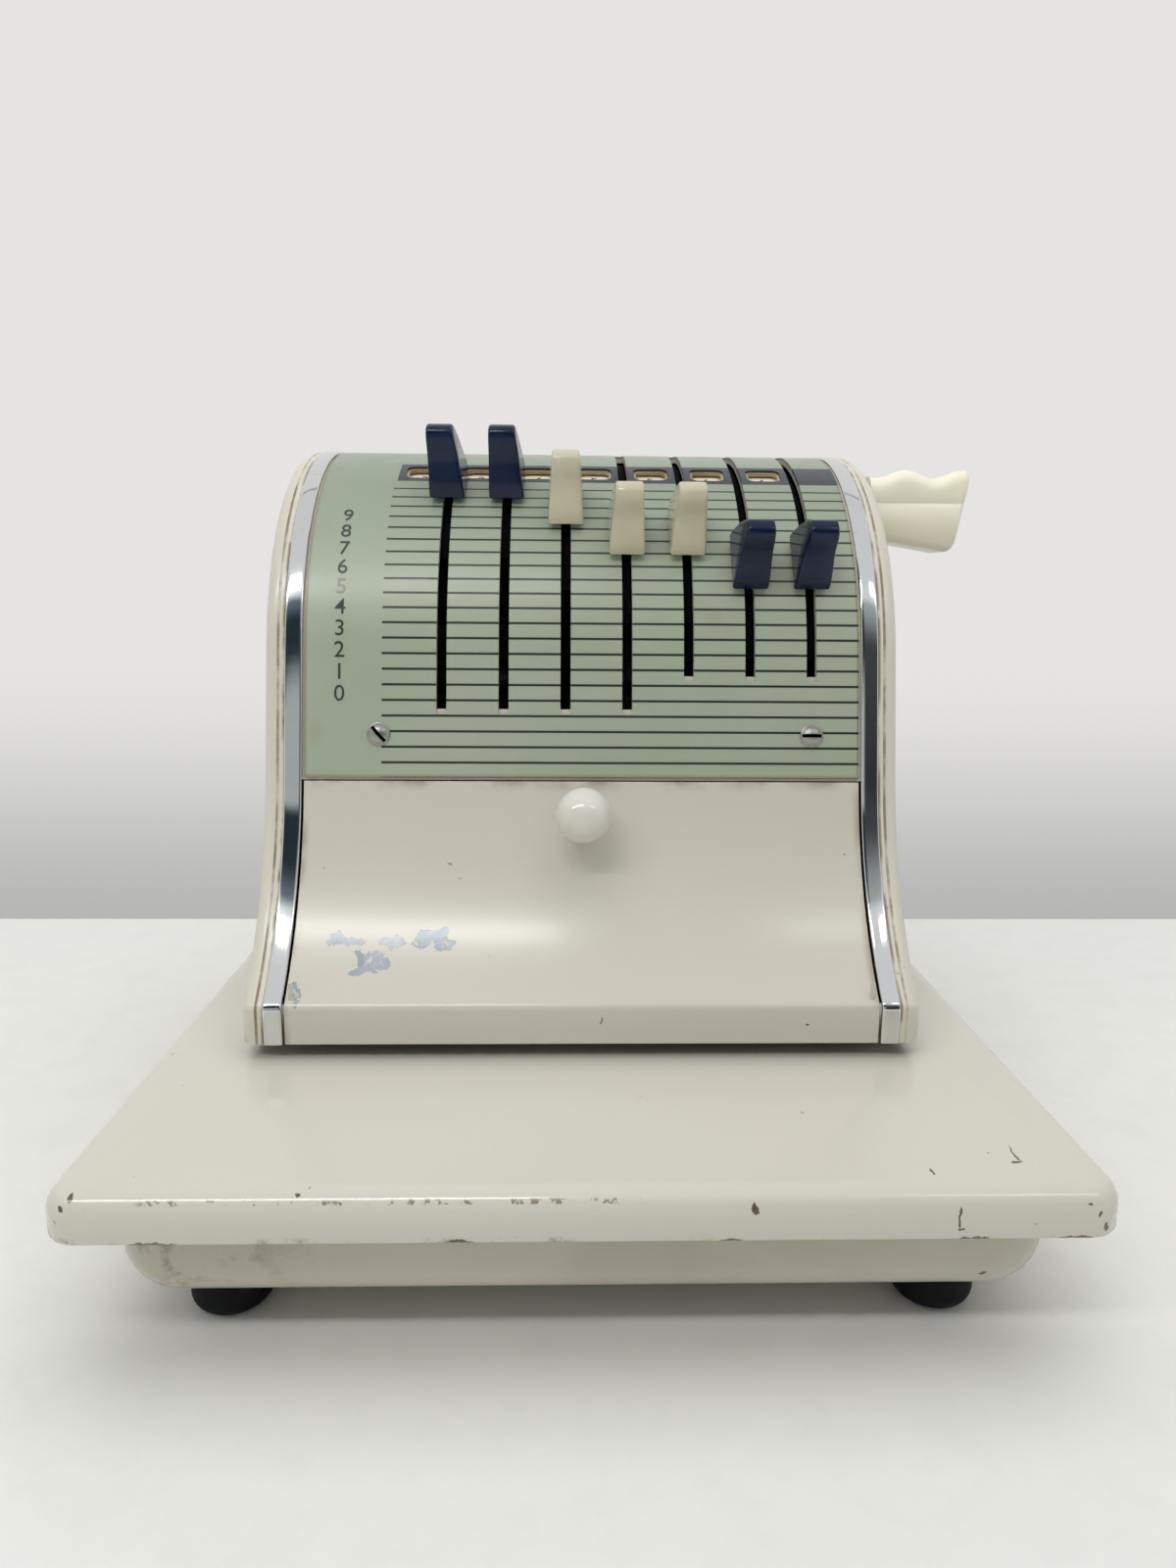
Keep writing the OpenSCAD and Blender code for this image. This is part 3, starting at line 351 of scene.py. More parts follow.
class Nodes:
    """Short calls for a material's nodes."""

    def __init__(self, name):
        self.m = bpy.data.materials.new(name)
        self.m.use_nodes = True
        self.t = self.m.node_tree
        self.b = self.t.nodes["Principled BSDF"]
        self.co = self.t.nodes.new("ShaderNodeTexCoord").outputs["Object"]

    def new(self, kind, **props):
        n = self.t.nodes.new(kind)
        for k, v in props.items():
            setattr(n, k, v)
        return n

    def put(self, sock, v):
        if hasattr(v, "is_linked"):
            self.t.links.new(v, sock)
        else:
            sock.default_value = v

    def math(self, op, a, b=0.0):
        n = self.new("ShaderNodeMath", operation=op)
        self.put(n.inputs[0], a)
        self.put(n.inputs[1], b)
        return n.outputs[0]

    def mul(self, a, b):
        return self.math("MULTIPLY", a, b)

    def vmath(self, op, a, b=(0, 0, 0)):
        n = self.new("ShaderNodeVectorMath", operation=op)
        self.put(n.inputs[0], a)
        self.put(n.inputs[1], b)
        return n.outputs["Value" if op in ("LENGTH", "DOT_PRODUCT") else "Vector"]

    def scaled(self, v, s):
        n = self.new("ShaderNodeVectorMath", operation="SCALE")
        self.put(n.inputs[0], v)
        n.inputs["Scale"].default_value = s
        return n.outputs[0]

    def metres(self, axis):
        n = self.new("ShaderNodeSeparateXYZ")
        self.put(n.inputs[0], self.co)
        return n.outputs[axis]

    def mm(self, axis, shift=0.0):
        """A coordinate in millimetres, moved by shift to the machine's own origin."""
        v = self.mul(self.metres(axis), 1000.0)
        return self.math("ADD", v, shift) if shift else v

    def noise(self, scale, detail=3.0, rough=0.5, vec=None, color=False):
        n = self.new("ShaderNodeTexNoise")
        self.put(n.inputs["Vector"], vec if vec is not None else self.co)
        n.inputs["Scale"].default_value = scale
        n.inputs["Detail"].default_value = detail
        n.inputs["Roughness"].default_value = rough
        return n.outputs["Color" if color else "Fac"]

    def ramp(self, v, lo, hi, to=(0.0, 1.0), smooth=True):
        n = self.new("ShaderNodeMapRange",
                     interpolation_type="SMOOTHSTEP" if smooth else "LINEAR")
        self.put(n.inputs["Value"], v)
        for k, s in zip(("From Min", "From Max", "To Min", "To Max"), (lo, hi) + tuple(to)):
            n.inputs[k].default_value = s
        return n.outputs[0]

    def mix(self, fac, a, b):
        n = self.new("ShaderNodeMix", data_type="RGBA")
        self.put(n.inputs["Factor"], fac)
        self.put(n.inputs[6], a)
        self.put(n.inputs[7], b)
        return n.outputs[2]

    def top(self, *masks):
        """The strongest of some masks."""
        out = masks[0]
        for m in masks[1:]:
            out = self.math("MAXIMUM", out, m)
        return out

    def band(self, v, lo, hi, soft):
        """1 between lo and hi, and 0 from soft outside them."""
        return self.mul(self.ramp(v, lo - soft, lo), self.ramp(v, hi, hi + soft, (1.0, 0.0)))

    def marks(self, spots, wobble=0.0015, scale=300.0):
        """1 within any of the spots (x, y, z, rx, ry, rz) given in the machine's mm."""
        w = self.vmath("SUBTRACT", self.noise(scale, 4.0, 0.6, color=True), (0.5, 0.5, 0.5))
        p = self.vmath("ADD", self.co, self.scaled(w, wobble * 2))
        found = []
        for x, y, z, rx, ry, rz in spots:
            d = self.vmath("DIVIDE", self.vmath("SUBTRACT", p, tuple(row(x, y, z))),
                           (rx / 1000, ry / 1000, rz / 1000))
            found.append(self.ramp(self.vmath("LENGTH", d), 0.85, 1.0, (1.0, 0.0)))
        return self.top(*found)

    def bump(self, height, strength, distance=0.0002):
        n = self.new("ShaderNodeBump")
        self.put(n.inputs["Height"], height)
        n.inputs["Strength"].default_value = strength
        n.inputs["Distance"].default_value = distance
        self.put(self.b.inputs["Normal"], n.outputs[0])

    def done(self, color=None, rough=None, metal=None, coat=0.0, coat_rough=0.1, spec=None):
        for k, v in (("Base Color", color), ("Roughness", rough), ("Metallic", metal),
                     ("Specular IOR Level", spec)):
            if v is not None:
                self.put(self.b.inputs[k], v)
        self.b.inputs["Coat Weight"].default_value = coat
        self.b.inputs["Coat Roughness"].default_value = coat_rough
        return self.m


# The brown of grime; on the grip's lower side it is also painted shade.
GRIME_AND_SHADE = lin("7a6a50")
RUST = lin("4a3526")
BARE = lin("8a949e")


def enamel(name, base, shade, rough=0.3, chips=(), bare=(), extra=None, speck=0.72):
    """Aged stove enamel: soft mottling, fine specks, grime and chips in given places."""
    g = Nodes(name)
    mott = g.ramp(g.noise(7.0, 2.0, 0.5), 0.25, 0.75, smooth=False)
    col = g.mix(mott, lin(base), lin(shade))
    specks = g.ramp(g.noise(260.0, 2.0, 0.6), speck, speck + 0.03)
    specks = g.mul(specks, g.ramp(g.noise(31.0, 2.0), 0.5, 0.62))
    col = g.mix(g.mul(specks, 0.65), col, GRIME_AND_SHADE)
    rough_s = g.ramp(g.noise(160.0, 4.0, 0.6), 0.3, 0.75, (rough - 0.004, rough + 0.008))
    height = g.mul(g.noise(260.0, 2.0, 0.5), 0.03)
    metal = 0.0
    if extra is not None:
        col = g.mix(extra(g), col, GRIME_AND_SHADE)
    if chips:
        m = g.marks(chips)
        col = g.mix(g.mul(m, 0.9), col, RUST)
        height = g.math("SUBTRACT", height, m)
    if bare:
        patch = g.marks(bare, 0.006, 130.0)
        crack = g.ramp(g.noise(420.0, 3.0, 0.65), 0.34, 0.4)
        patch = g.mul(patch, crack)
        col = g.mix(patch, col, g.mix(g.ramp(g.noise(90.0), 0.4, 0.6), BARE, lin("a2a9af")))
        metal = g.mul(patch, 0.1)
        height = g.math("SUBTRACT", height, patch)
    g.bump(height, 0.18)
    return g.done(col, rough_s, metal, coat=0.15, coat_rough=0.12)


def case_grime(g):
    """Brown grime that creeps up from the case's lower edge."""
    near = g.ramp(g.mm("Z"), HEAD_LOW, HEAD_LOW + 6.2, (1.0, 0.0))
    spots = g.ramp(g.noise(120.0, 5.0, 0.65), 0.5, 0.62)
    thin = g.ramp(g.noise(34.0, 3.0), 0.45, 0.62)
    return g.mul(g.mul(near, spots), g.mul(thin, 0.8))


def rim_grime(g):
    """Dirt in the cover's seam, beside the chrome trim and along the lower edge."""
    x = g.math("ABSOLUTE", g.mm("X", MID[0]))
    seam = g.band(x, SEAM_X + 0.15, SEAM_X + 0.75, 0.25)
    seam = g.mul(seam, g.ramp(g.noise(60.0, 5.0, 0.7), 0.36, 0.6))
    inner = g.mul(g.band(x, RIM_IN - 0.5, RIM_IN + 0.4, 0.5),
                  g.ramp(g.noise(90.0, 4.0), 0.4, 0.62))
    foot = g.mul(g.ramp(g.mm("Z"), HEAD_LOW, HEAD_LOW + 2.7, (1.0, 0.0)),
                 g.ramp(g.noise(160.0, 5.0, 0.7), 0.5, 0.66))
    return g.mul(g.top(seam, inner, g.mul(foot, 0.45)), 0.75)


def tray_grime(g):
    """Dirt along the tray's lower edge, and a dotted line where its front turns over."""
    z = g.mm("Z")
    low = g.mul(g.ramp(z, TRAY_LOW - 0.1, TRAY_LOW + 2.5, (1.0, 0.0)),
                g.ramp(g.noise(150.0, 5.0, 0.7), 0.5, 0.62))
    low = g.mul(low, g.ramp(g.noise(26.0, 3.0), 0.44, 0.58))
    front = g.ramp(g.mm("Y", MID[1]), 0.5, 3.0, (1.0, 0.0))
    line = g.band(z, TRAY_TOP - 2.6, TRAY_TOP - 2.0, 0.4)
    dots = g.ramp(g.noise(330.0, 4.0, 0.7), 0.55, 0.6)
    line = g.mul(g.mul(line, dots), g.mul(front, g.band(g.mm("X", MID[0]), -100.0, 8.0, 6.0)))
    return g.top(low, line)


def pan_grime(g):
    """Brown stains at the pan's left front, and a thin line of grime along its foot."""
    z = g.mm("Z")
    left = g.mul(g.ramp(g.mm("X", MID[0]), -108.0, -52.0, (1.0, 0.0)),
                 g.ramp(z, PAN_LOW, PAN_LOW + 6.0))
    left = g.mul(left, g.ramp(g.mm("Y", MID[1]), 20.0, 70.0, (1.0, 0.0)))
    left = g.mul(left, g.ramp(g.noise(85.0, 6.0, 0.7), 0.46, 0.68))
    tan = g.ramp(g.noise(22.0, 3.0, 0.6), 0.42, 0.7, (0.0, 0.45))
    foot = g.mul(g.ramp(z, PAN_LOW, PAN_LOW + 5.0, (1.0, 0.0)),
                 g.ramp(g.noise(120.0, 5.0, 0.65), 0.56, 0.68))
    return g.top(g.mul(left, 0.9), g.mul(tan, 0.3), g.mul(foot, 0.6))


def door_grime(g):
    """Dirt along the door's upper edge and its sides."""
    x = g.math("ABSOLUTE", g.mm("X", MID[0]))
    top = g.mul(g.ramp(g.mm("Z"), 124.0, 128.0), g.ramp(g.noise(70.0, 4.0), 0.42, 0.66))
    side = g.mul(g.ramp(x, DOOR_HALF - 2.8, DOOR_HALF - 0.4),
                 g.ramp(g.noise(60.0, 4.0), 0.4, 0.66))
    return g.mul(g.top(top, side), 0.5)


def cap_dirt(g):
    """Dirt low on the third lever's cap."""
    low = g.ramp(g.mm("Z"), 158.0, 170.0, (1.0, 0.0))
    third = g.band(g.mm("X", MID[0]), -11.5, 0.5, 0.5)
    spots = g.ramp(g.noise(150.0, 5.0, 0.65), 0.5, 0.62)
    return g.mul(g.mul(low, third), g.mul(spots, 0.8))


def grip_fade(g):
    """Painted shade: the grip's lower side darkens towards brown, below its lit top."""
    low = g.ramp(g.mm("Z"), GRIP_C.y - 14.0, GRIP_C.y + 9.0, (0.34, 0.0))
    return g.mul(low, g.ramp(g.noise(18.0, 2.0), 0.2, 0.8, (0.8, 1.0)))


def metal_mat(name, base, rough, scale, streak, metal=1.0, wear=0.35, relief=0.1):
    """Bare or plated metal with fine scratches along its grain."""
    g = Nodes(name)
    grain = g.vmath("MULTIPLY", g.co, scale)
    fine = g.noise(12.0, 5.0, 0.7, vec=grain)
    spots = g.ramp(g.noise(140.0, 4.0, 0.6), 0.62, 0.75)
    col = g.mix(g.mul(spots, wear), lin(base), lin("6f6a62"))
    g.bump(fine, relief, 0.0001)
    return g.done(col, g.ramp(fine, 0.3, 0.75, (rough, rough + streak)), metal)


def gloss(name, base, shade, rough=0.12, chips=(), dirt_and_shade=None, coat=0.4, spec=0.5):
    """Glossy moulded plastic with faint wear."""
    g = Nodes(name)
    col = g.mix(g.ramp(g.noise(55.0, 3.0), 0.4, 0.7), lin(base), lin(shade))
    # Mixed towards brown by the given mask: real dirt on the caps, painted shade on the grip.
    if dirt_and_shade is not None:
        col = g.mix(dirt_and_shade(g), col, GRIME_AND_SHADE)
    if chips:
        col = g.mix(g.marks(chips, 0.0004, 900.0), col, RUST)
    scuff = g.ramp(g.noise(210.0, 5.0, 0.7), 0.45, 0.75, (rough, rough + 0.13))
    g.bump(g.noise(180.0, 2.0), 0.05)
    return g.done(col, scuff, coat=coat, coat_rough=0.05, spec=spec)


# Worn spots: the middle (x, y, z) of each and its half sizes, in mm
DOOR_BARE = [
    (-75.0, 84.5, 82.5, 2.6, 3, 1.5), (-69.4, 84.3, 82.0, 4.2, 3, 1.9), (-66.0, 81.0, 78.5, 2.0, 3, 2.0),
    (-61.6, 80.5, 77.6, 3.6, 3, 1.6), (-57.8, 83.8, 81.6, 3.8, 3, 1.3), (-46.2, 86.0, 84.4, 4.6, 3, 2.2),
    (-41.5, 83.8, 81.4, 4.0, 3, 2.6), (-48.5, 84.5, 82.4, 4.2, 3, 1.6), (-65.9, 79.0, 75.6, 4.4, 3, 1.6),
    (-84.9, 72.4, 69.4, 1.4, 3, 3.0), (-85.9, 74.6, 71.6, 1.2, 3, 1.2)]
DOOR_CHIPS = [(5.0, 70, 62.9, 0.3, 2, 0.9), (66.0, 70, 61.5, 0.5, 2, 0.4)]
TRAY_CHIPS = [
    (105.3, 16.2, 51, 0.35, 4.2, 1), (104.1, 13.1, 51, 1.2, 0.6, 1), (82.2, 8.6, 51, 0.5, 1.4, 1),
    (86.2, 0, 44.3, 0.45, 1, 3.2), (86.9, 0, 41.2, 1.0, 1, 0.35), (89.6, 0, 39.0, 4.6, 1, 0.45),
    (112.0, 0, 39.3, 2.2, 1, 0.5), (115.5, 0, 39.2, 2.6, 1, 0.6), (119.5, 1, 44.9, 0.6, 2, 1.3),
    (121.0, 2, 41.5, 0.7, 3, 1.5), (117.0, 0, 47.5, 0.8, 1, 0.35), (-120.6, 2, 47.4, 0.9, 2, 0.7),
    (-121.6, 3, 44.6, 0.8, 2, 1.2), (-118.9, 3, 49.6, 0.7, 2, 0.8), (-100.1, 0, 38.9, 6.0, 1, 0.7),
    (-29.7, 0, 39.2, 3.6, 1, 0.5), (38.1, 0, 47.2, 0.9, 1, 1.9), (33.0, 0, 39.0, 3.0, 1, 0.45),
    (-67.2, 3, 49.7, 0.8, 2, 0.4), (125.5, 40, 50.0, 1.5, 0.7, 2)]
PAN_CHIPS = [
    (97.1, 12, 22.6, 1.8, 2, 1.3), (9.7, 12, 24.5, 1.4, 2, 0.6), (20, 12, 17.5, 0.8, 2, 0.6),
    (-5, 12, 16, 4, 2, 0.5), (-60, 12, 15.6, 5, 3, 0.6)]

M = {}
M["case"] = enamel("case_enamel", "c9c6ba", "c1bdaf", 0.3, extra=case_grime)
M["chrome"] = metal_mat("chrome_trim", "e2e4e5", 0.07, (8, 30, 30), 0.04, wear=0.12, relief=0.0006)
M["nickel"] = metal_mat("nickel_screw", "a9a9a3", 0.36, (90, 90, 90), 0.1, wear=0.1, relief=0.02)
M["steel"] = metal_mat("steel_part", "8d9093", 0.32, (60, 500, 60), 0.15)
M["dark"] = metal_mat("dark_steel", "17181a", 0.5, (60, 60, 60), 0.15, metal=0.2)
M["navy"] = gloss("navy_plastic", "0a1a34", "0d203e", 0.16, coat=0.15, spec=0.25)
M["rubber"] = gloss("rubber", "06090f", "0b0f17", 0.6, coat=0.0, spec=0.2)
M["knob"] = gloss("knob_white", "dddbd3", "d8d5cb", 0.06)
# Near-black painted shade for the parts seen deep in the plate's slots and for the screws' slots.
M["slot"] = gloss("slot_painted_shade", "040406", "060709", 0.8, coat=0.0, spec=0.1)
M["ink"] = gloss("ink_felt", "1d1a2c", "2a2638", 0.7)
M["case_rim"] = enamel("cover_enamel", "d8d4c7", "d0ccbc", 0.28, extra=rim_grime)
M["door"] = enamel("door_enamel", "d0ccc0", "cbc7b9", 0.22, DOOR_CHIPS, DOOR_BARE, door_grime)
M["tray"] = enamel("tray_enamel", "d2d0c4", "ccc9bc", 0.13, chips=TRAY_CHIPS, extra=tray_grime)
M["pan"] = enamel("pan_enamel", "c5c1b1", "bebaa8", 0.25, chips=PAN_CHIPS, extra=pan_grime, speck=0.9)
M["cap"] = gloss("cap_cream", "c9c3aa", "c3bca0", 0.16, dirt_and_shade=cap_dirt)
# The grip's lower side carries painted shade, darker than its top.
M["grip"] = gloss("grip_cream", "f6f2dc", "f2edd0", 0.34, dirt_and_shade=grip_fade)
M["dial"] = gloss("dial_tan", "f4ead2", "efe3c6", 0.4)
# Dark tan painted shade for the frames round the windows.
M["bezel"] = gloss("bezel_tan", "ab9a7a", "9c8a69", 0.4)
M["shell"] = enamel("shell_enamel", "cfcabd", "bdb6a6", 0.4)


def plate_mat():
    """Sage print with ruled lines, a slate band, painted shade up the curve and a rubbed sheen, laid out
    along the sheet.
    """
    g = Nodes("plate_print")
    x = g.mm("X", MID[0])
    y = g.mm("Y", MID[1] - HC.x)
    z = g.mm("Z", -HC.y)
    # s runs up the flat front from the door, then round the curve
    flat_s = g.math("ADD", g.mul(y, FLAT_T.x), g.mul(z, FLAT_T.y))
    angle = g.math("ARCTAN2", g.mul(y, -1.0), z)
    arc_s = g.mul(g.math("SUBTRACT", math.radians(ARC_START), angle), R)
    on_arc = g.math("GREATER_THAN", flat_s, 0.0)
    on_flat = g.mul(g.math("SUBTRACT", 1.0, on_arc), flat_s)
    s = g.math("ADD", FLAT, g.math("ADD", g.mul(on_arc, arc_s), on_flat))
    rules, first, pitch, half, left = 21, 5.85, 4.884, 0.36, -63.2
    turn = g.math("DIVIDE", g.math("SUBTRACT", s, first), pitch)
    off = g.math("ABSOLUTE", g.math("SUBTRACT", turn, g.math("ROUND", turn)))
    line = g.ramp(off, (half - 0.06) / pitch, (half + 0.1) / pitch, (1.0, 0.0))
    line = g.mul(line, g.math("LESS_THAN", s, first + (rules - 0.6) * pitch))
    line = g.mul(line, g.ramp(x, left - 0.1, left + 0.1))
    band_low = first + rules * pitch + 0.1
    band = g.mul(g.band(s, band_low, band_low + 14.1, 0.1), g.ramp(x, left + 0.6, left + 0.8))
    sage = g.mix(g.ramp(g.noise(14.0, 3.0), 0.35, 0.7), lin("a0ab95"), lin("a7b19c"))
    # Painted shade: the sage darkens up the curve, from 50 to 115 mm up the layout.
    sage = g.mix(g.ramp(s, 50.0, 115.0, (0.0, 0.85)), sage, lin("879483"))
    stain = g.mul(g.ramp(g.noise(30.0, 5.0, 0.6), 0.6, 0.75), 0.25)
    rim = g.top(g.ramp(g.math("ABSOLUTE", x), FACE_HALF - 1.0, FACE_HALF - 0.2),
                g.ramp(s, PLATE_GAP + 1.4, PLATE_GAP))
    sage = g.mix(g.mul(g.top(stain, g.mul(rim, 0.85)), 0.8), sage, lin("83795f"))
    slate = g.mix(g.ramp(g.noise(60.0), 0.4, 0.7), lin("2a3039"), lin("353b45"))
    worn = g.ramp(g.noise(95.0, 5.0, 0.7), 0.14, 0.27)
    col = g.mix(band, sage, slate)
    col = g.mix(g.mul(line, g.mul(worn, 0.96)), col, lin("121a1a"))
    g.bump(g.noise(240.0, 4.0, 0.6), 0.05)
    scuff = g.ramp(g.noise(70.0, 6.0, 0.7), 0.35, 0.75, (0.3, 0.44))
    return g.done(col, scuff, coat=0.1, coat_rough=0.25)


M["plate"] = plate_mat()
M["print"] = gloss("printed_digit", "2b3836", "33413f", 0.4)
NODE_MAT = {
    "head_shell": "shell", "neck_spacer": "dark", "throat_plate": "dark", "platen": "dark",
    "press_cams": "dark", "ink_roller": "ink"}
for name, ob in frame["nodes"].items():
    key = NODE_MAT.get(name, "steel")
    # The levers' sectors and dials, seen through the slots, are painted near-black as shade.
    if name.startswith(("lever_dial", "lever_sector")):
        key = "slot"
    ob.data.materials.clear()
    ob.data.materials.append(M[key])


# Base --------------------------------------------------------------------------------
def tray():
    def ring(z, inset):
        return rect_ring(TRAY_W, TRAY_D, TRAY_CORNER, z, inset)

    bead_z = TRAY_LOW + TRAY_BEAD
    rings = [ring(bead_z, TRAY_WALL)]
    for i in range(5):
        a = math.pi * i / 4
        rings.append(ring(bead_z - TRAY_BEAD * math.sin(a), TRAY_WALL / 2 * (1 + math.cos(a))))
    for a in quarter(8):
        rings.append(ring(TRAY_TOP - TRAY_R * (1 - math.sin(a)), TRAY_R * (1 - math.cos(a))))
    under = TRAY_TOP - TRAY_WALL
    inner_r = TRAY_R - TRAY_WALL
    inner = [ring(bead_z, TRAY_WALL)]
    for a in quarter(4):
        inner.append(ring(under - inner_r * (1 - math.sin(a)), TRAY_WALL + inner_r * (1 - math.cos(a))))
    holes = [rect(*PRINT_OPEN_X, *PRINT_OPEN_Y)]
    for sgn in (-1, 1):
        holes.append(rect(*sorted(sgn * x for x in LINK_OPEN_X), *LINK_OPEN_Y))
    parts = []
    for side, z, flip in ((rings, TRAY_TOP, False), (inner, under, True)):
        vs, fs = holed([(x, y) for x, y, _ in side[-1]], holes)
        for v, f in (grid(side, caps=(False, False)), ([(p.x, p.y, z) for p in vs], fs)):
            parts.append((v, [tuple(reversed(q)) for q in f] if flip else f))
    for h in holes:
        parts.append(grid([[(x, y, z) for x, y in h] for z in (TRAY_TOP, under)], caps=(False, False)))
    piece("tray", *merge(*parts), "case", "base_enamel", M["tray"], ["base_tray"], 40)


def pan():
    def shell(t):
        """One side of the pan's wall, inset by t."""
        def ring(z, inset):
            return rect_ring(TRAY_W - 2 * PAN_IN, TRAY_D - 2 * PAN_IN, PAN_CORNER, z, inset)

        r = PAN_R - t
        curve = [ring(PAN_LOW + t + r * (1 - math.sin(a)), t + r * (1 - math.cos(a)))
                 for a in quarter(8)]
        return [ring(PAN_TOP, t)] + curve

    outer, inner = shell(0.0), shell(PAN_WALL)
    v, f = grid(inner, caps=(False, True))
    lip = grid([outer[0], inner[0]], caps=(False, False))
    verts, faces = merge(grid(outer, caps=(False, True)), (v, [tuple(reversed(q)) for q in f]), lip)
    piece("pan", verts, faces, "case", "base_enamel", M["pan"], ["base_pan"], 40)


def feet():
    half, bore = FOOT_D / 2, 4.5
    profile = [(0.5, 5.0), (bore, 5.0), (bore, 0.2), (bore + 0.3, 0.0), (bore + 1.1, 0.0)]
    profile += [(half - FOOT_R + FOOT_R * math.sin(a), FOOT_R - FOOT_R * math.cos(a))
                for a in quarter(8)[1:]]
    profile += [(half, 9.0), (half - 0.2, FOOT_H - 0.3), (half - 0.5, FOOT_H), (0.5, FOOT_H)]
    places = [Matrix.Translation((sx * FOOT_AT[0], TRAY_D / 2 + sy * FOOT_AT[1], 0))
              for sx in (-1, 1) for sy in (-1, 1)]
    verts, faces = merge(*(lathe(profile, m, 40) for m in places))
    piece("feet", verts, faces, "case", "rubber", M["rubber"], ["rubber_feet"], 50)


# Head --------------------------------------------------------------------------------
def cover(side, end):
    """A side cover: a rounded rim with a shallow seam, and a flat hollow side."""
    middle = HEAD_HALF - RIM_R
    section = [(-COVER_WALL, RIM_IN), (-0.25, RIM_IN), (0.0, RIM_IN + 0.25), (0.0, SEAM_X),
               (-0.35, SEAM_X + 0.3), (-0.35, SEAM_X + 0.5), (-0.05, SEAM_X + 0.8)]
    section += [(RIM_R * math.cos(a) - RIM_R, middle + RIM_R * math.sin(a)) for a in quarter(8)[1:]]
    section.append((-RIM_R - 1.5, HEAD_HALF))
    rings = [[(side * x, p.x, p.y) for p in whole_pts(d)] for d, x in section]
    n = len(rings[0])
    v, f = grid(rings, closed_rings=False, caps=(False, False))
    base = len(v)
    v += [(side * (HEAD_HALF - COVER_WALL), p.x, p.y) for p in whole_pts(-COVER_WALL)]
    # side face, inner face, inner strip and the lower edge
    f.append(tuple(range(base - n, base)))
    f.append(tuple(range(base + n - 1, base - 1, -1)))
    f += [(j + 1, j, base + j, base + j + 1) for j in range(n - 1)]
    ends = [i * n for i in range(len(rings))]
    f.append(tuple(ends + [i + n - 1 for i in reversed(ends)] + [base + n - 1, base]))
    piece("cover_" + end, v, f, "case", "case_enamel", M["case_rim"], ["side_cover_" + end], 32)


def trim(side, end):
    """A slightly domed chrome strip along the outline."""
    low, high = TRIM_IN + 0.5, RIM_IN - 0.5
    section = [(-0.8, TRIM_IN), (-0.1, TRIM_IN), (0.25, TRIM_IN + 0.15)]
    section += [(0.4 + 0.12 * math.sin(math.pi * i / 8), low + (high - low) * i / 8) for i in range(9)]
    section += [(0.25, RIM_IN - 0.2), (-0.1, RIM_IN - 0.05), (-0.8, RIM_IN - 0.05)]
    v, f = strip(whole_pts, [(d, side * x) for d, x in section])
    piece("trim_" + end, v, f, "case", "chrome", M["chrome"], ["chrome_trim_" + end], 50)


def sheet_s(a):
    """How far up the plate's flat layout an angle of the head's curve lies."""
    return FLAT + R * math.radians(ARC_START - a)


def on_plate(s, d):
    if s <= FLAT:
        return DOOR_TOP + s * FLAT_T + d * FLAT_N
    return HC + up(R + d, ARC_START - math.degrees((s - FLAT) / R))


def sheet_at(d):
    """Maps a point of the plate's flat layout to the head, d outside its surface."""
    def place(p):
        q = on_plate(p.y, d)
        return (p.x, q.x, q.y)

    return place


def across(half, middle, levels):
    """Lines across a flat layout, which let it follow the curve."""
    return [[(middle - half, s), (middle + half, s)] for s in levels]


def plate():
    """The printed plate, with a slot and a window for each lever."""
    slot_top, window_s, top = sheet_s(SLOT_TOP_A), sheet_s(WIN_A), sheet_s(-8)
    holes = []
    for k, x in enumerate(LEVER_X):
        low = SLOT_LOW_S[0 if k < LONG_SLOTS else 1]
        holes.append(rect(x - SLOT_W / 2, x + SLOT_W / 2, low, slot_top))
        holes.append(round_rect(x - WIN_LEFT, window_s, WIN_W, WIN_H, 2.6, 6))
    steps = 90
    lines = across(FACE_HALF, 0.0, [FLAT + (top - FLAT) * i / steps for i in range(steps)])
    vs, fs = holed(rect(-FACE_HALF, FACE_HALF, PLATE_GAP, top), holes, lines)
    v, f = thick(vs, fs, sheet_at(0.0), sheet_at(-PLATE_WALL))
    piece("plate", v, f, "case", "plate_print", M["plate"], ["face_plate"], 40)


def bezels():
    """A tan frame under each window of the plate; its dark tan stands as painted shade round the window.
    """
    w, h, inset, deep = WIN_W + 1.4, WIN_H + 1.2, 1.7, 1.1
    s = sheet_s(WIN_A)
    for k, x in enumerate(LEVER_X):
        cx = x - WIN_LEFT
        lines = across(w, cx, [s + h * (i / 10 - 0.5) for i in range(1, 10)])
        window = round_rect(cx, s, WIN_W - inset, WIN_H - inset, 2.0, 6)
        vs, fs = holed(round_rect(cx, s, w, h, 3.2, 6), [window], lines)
        v, f = thick(vs, fs, sheet_at(-PLATE_WALL), sheet_at(-PLATE_WALL - deep))
        piece("bezel_%d" % (k + 1), v, f, "case", "plate_print", M["bezel"], sharp=40)


def back_cover():
    def path(d):
        return arc_pts(HC, R + d, -40.3, -90, 40) + back_pts(d)

    v, f = strip(path, rounded(SKIN, REAR_HALF, 0.5))
    piece("back_cover", v, f, "case", "case_enamel", M["case"], ["rear_cover"], 40)


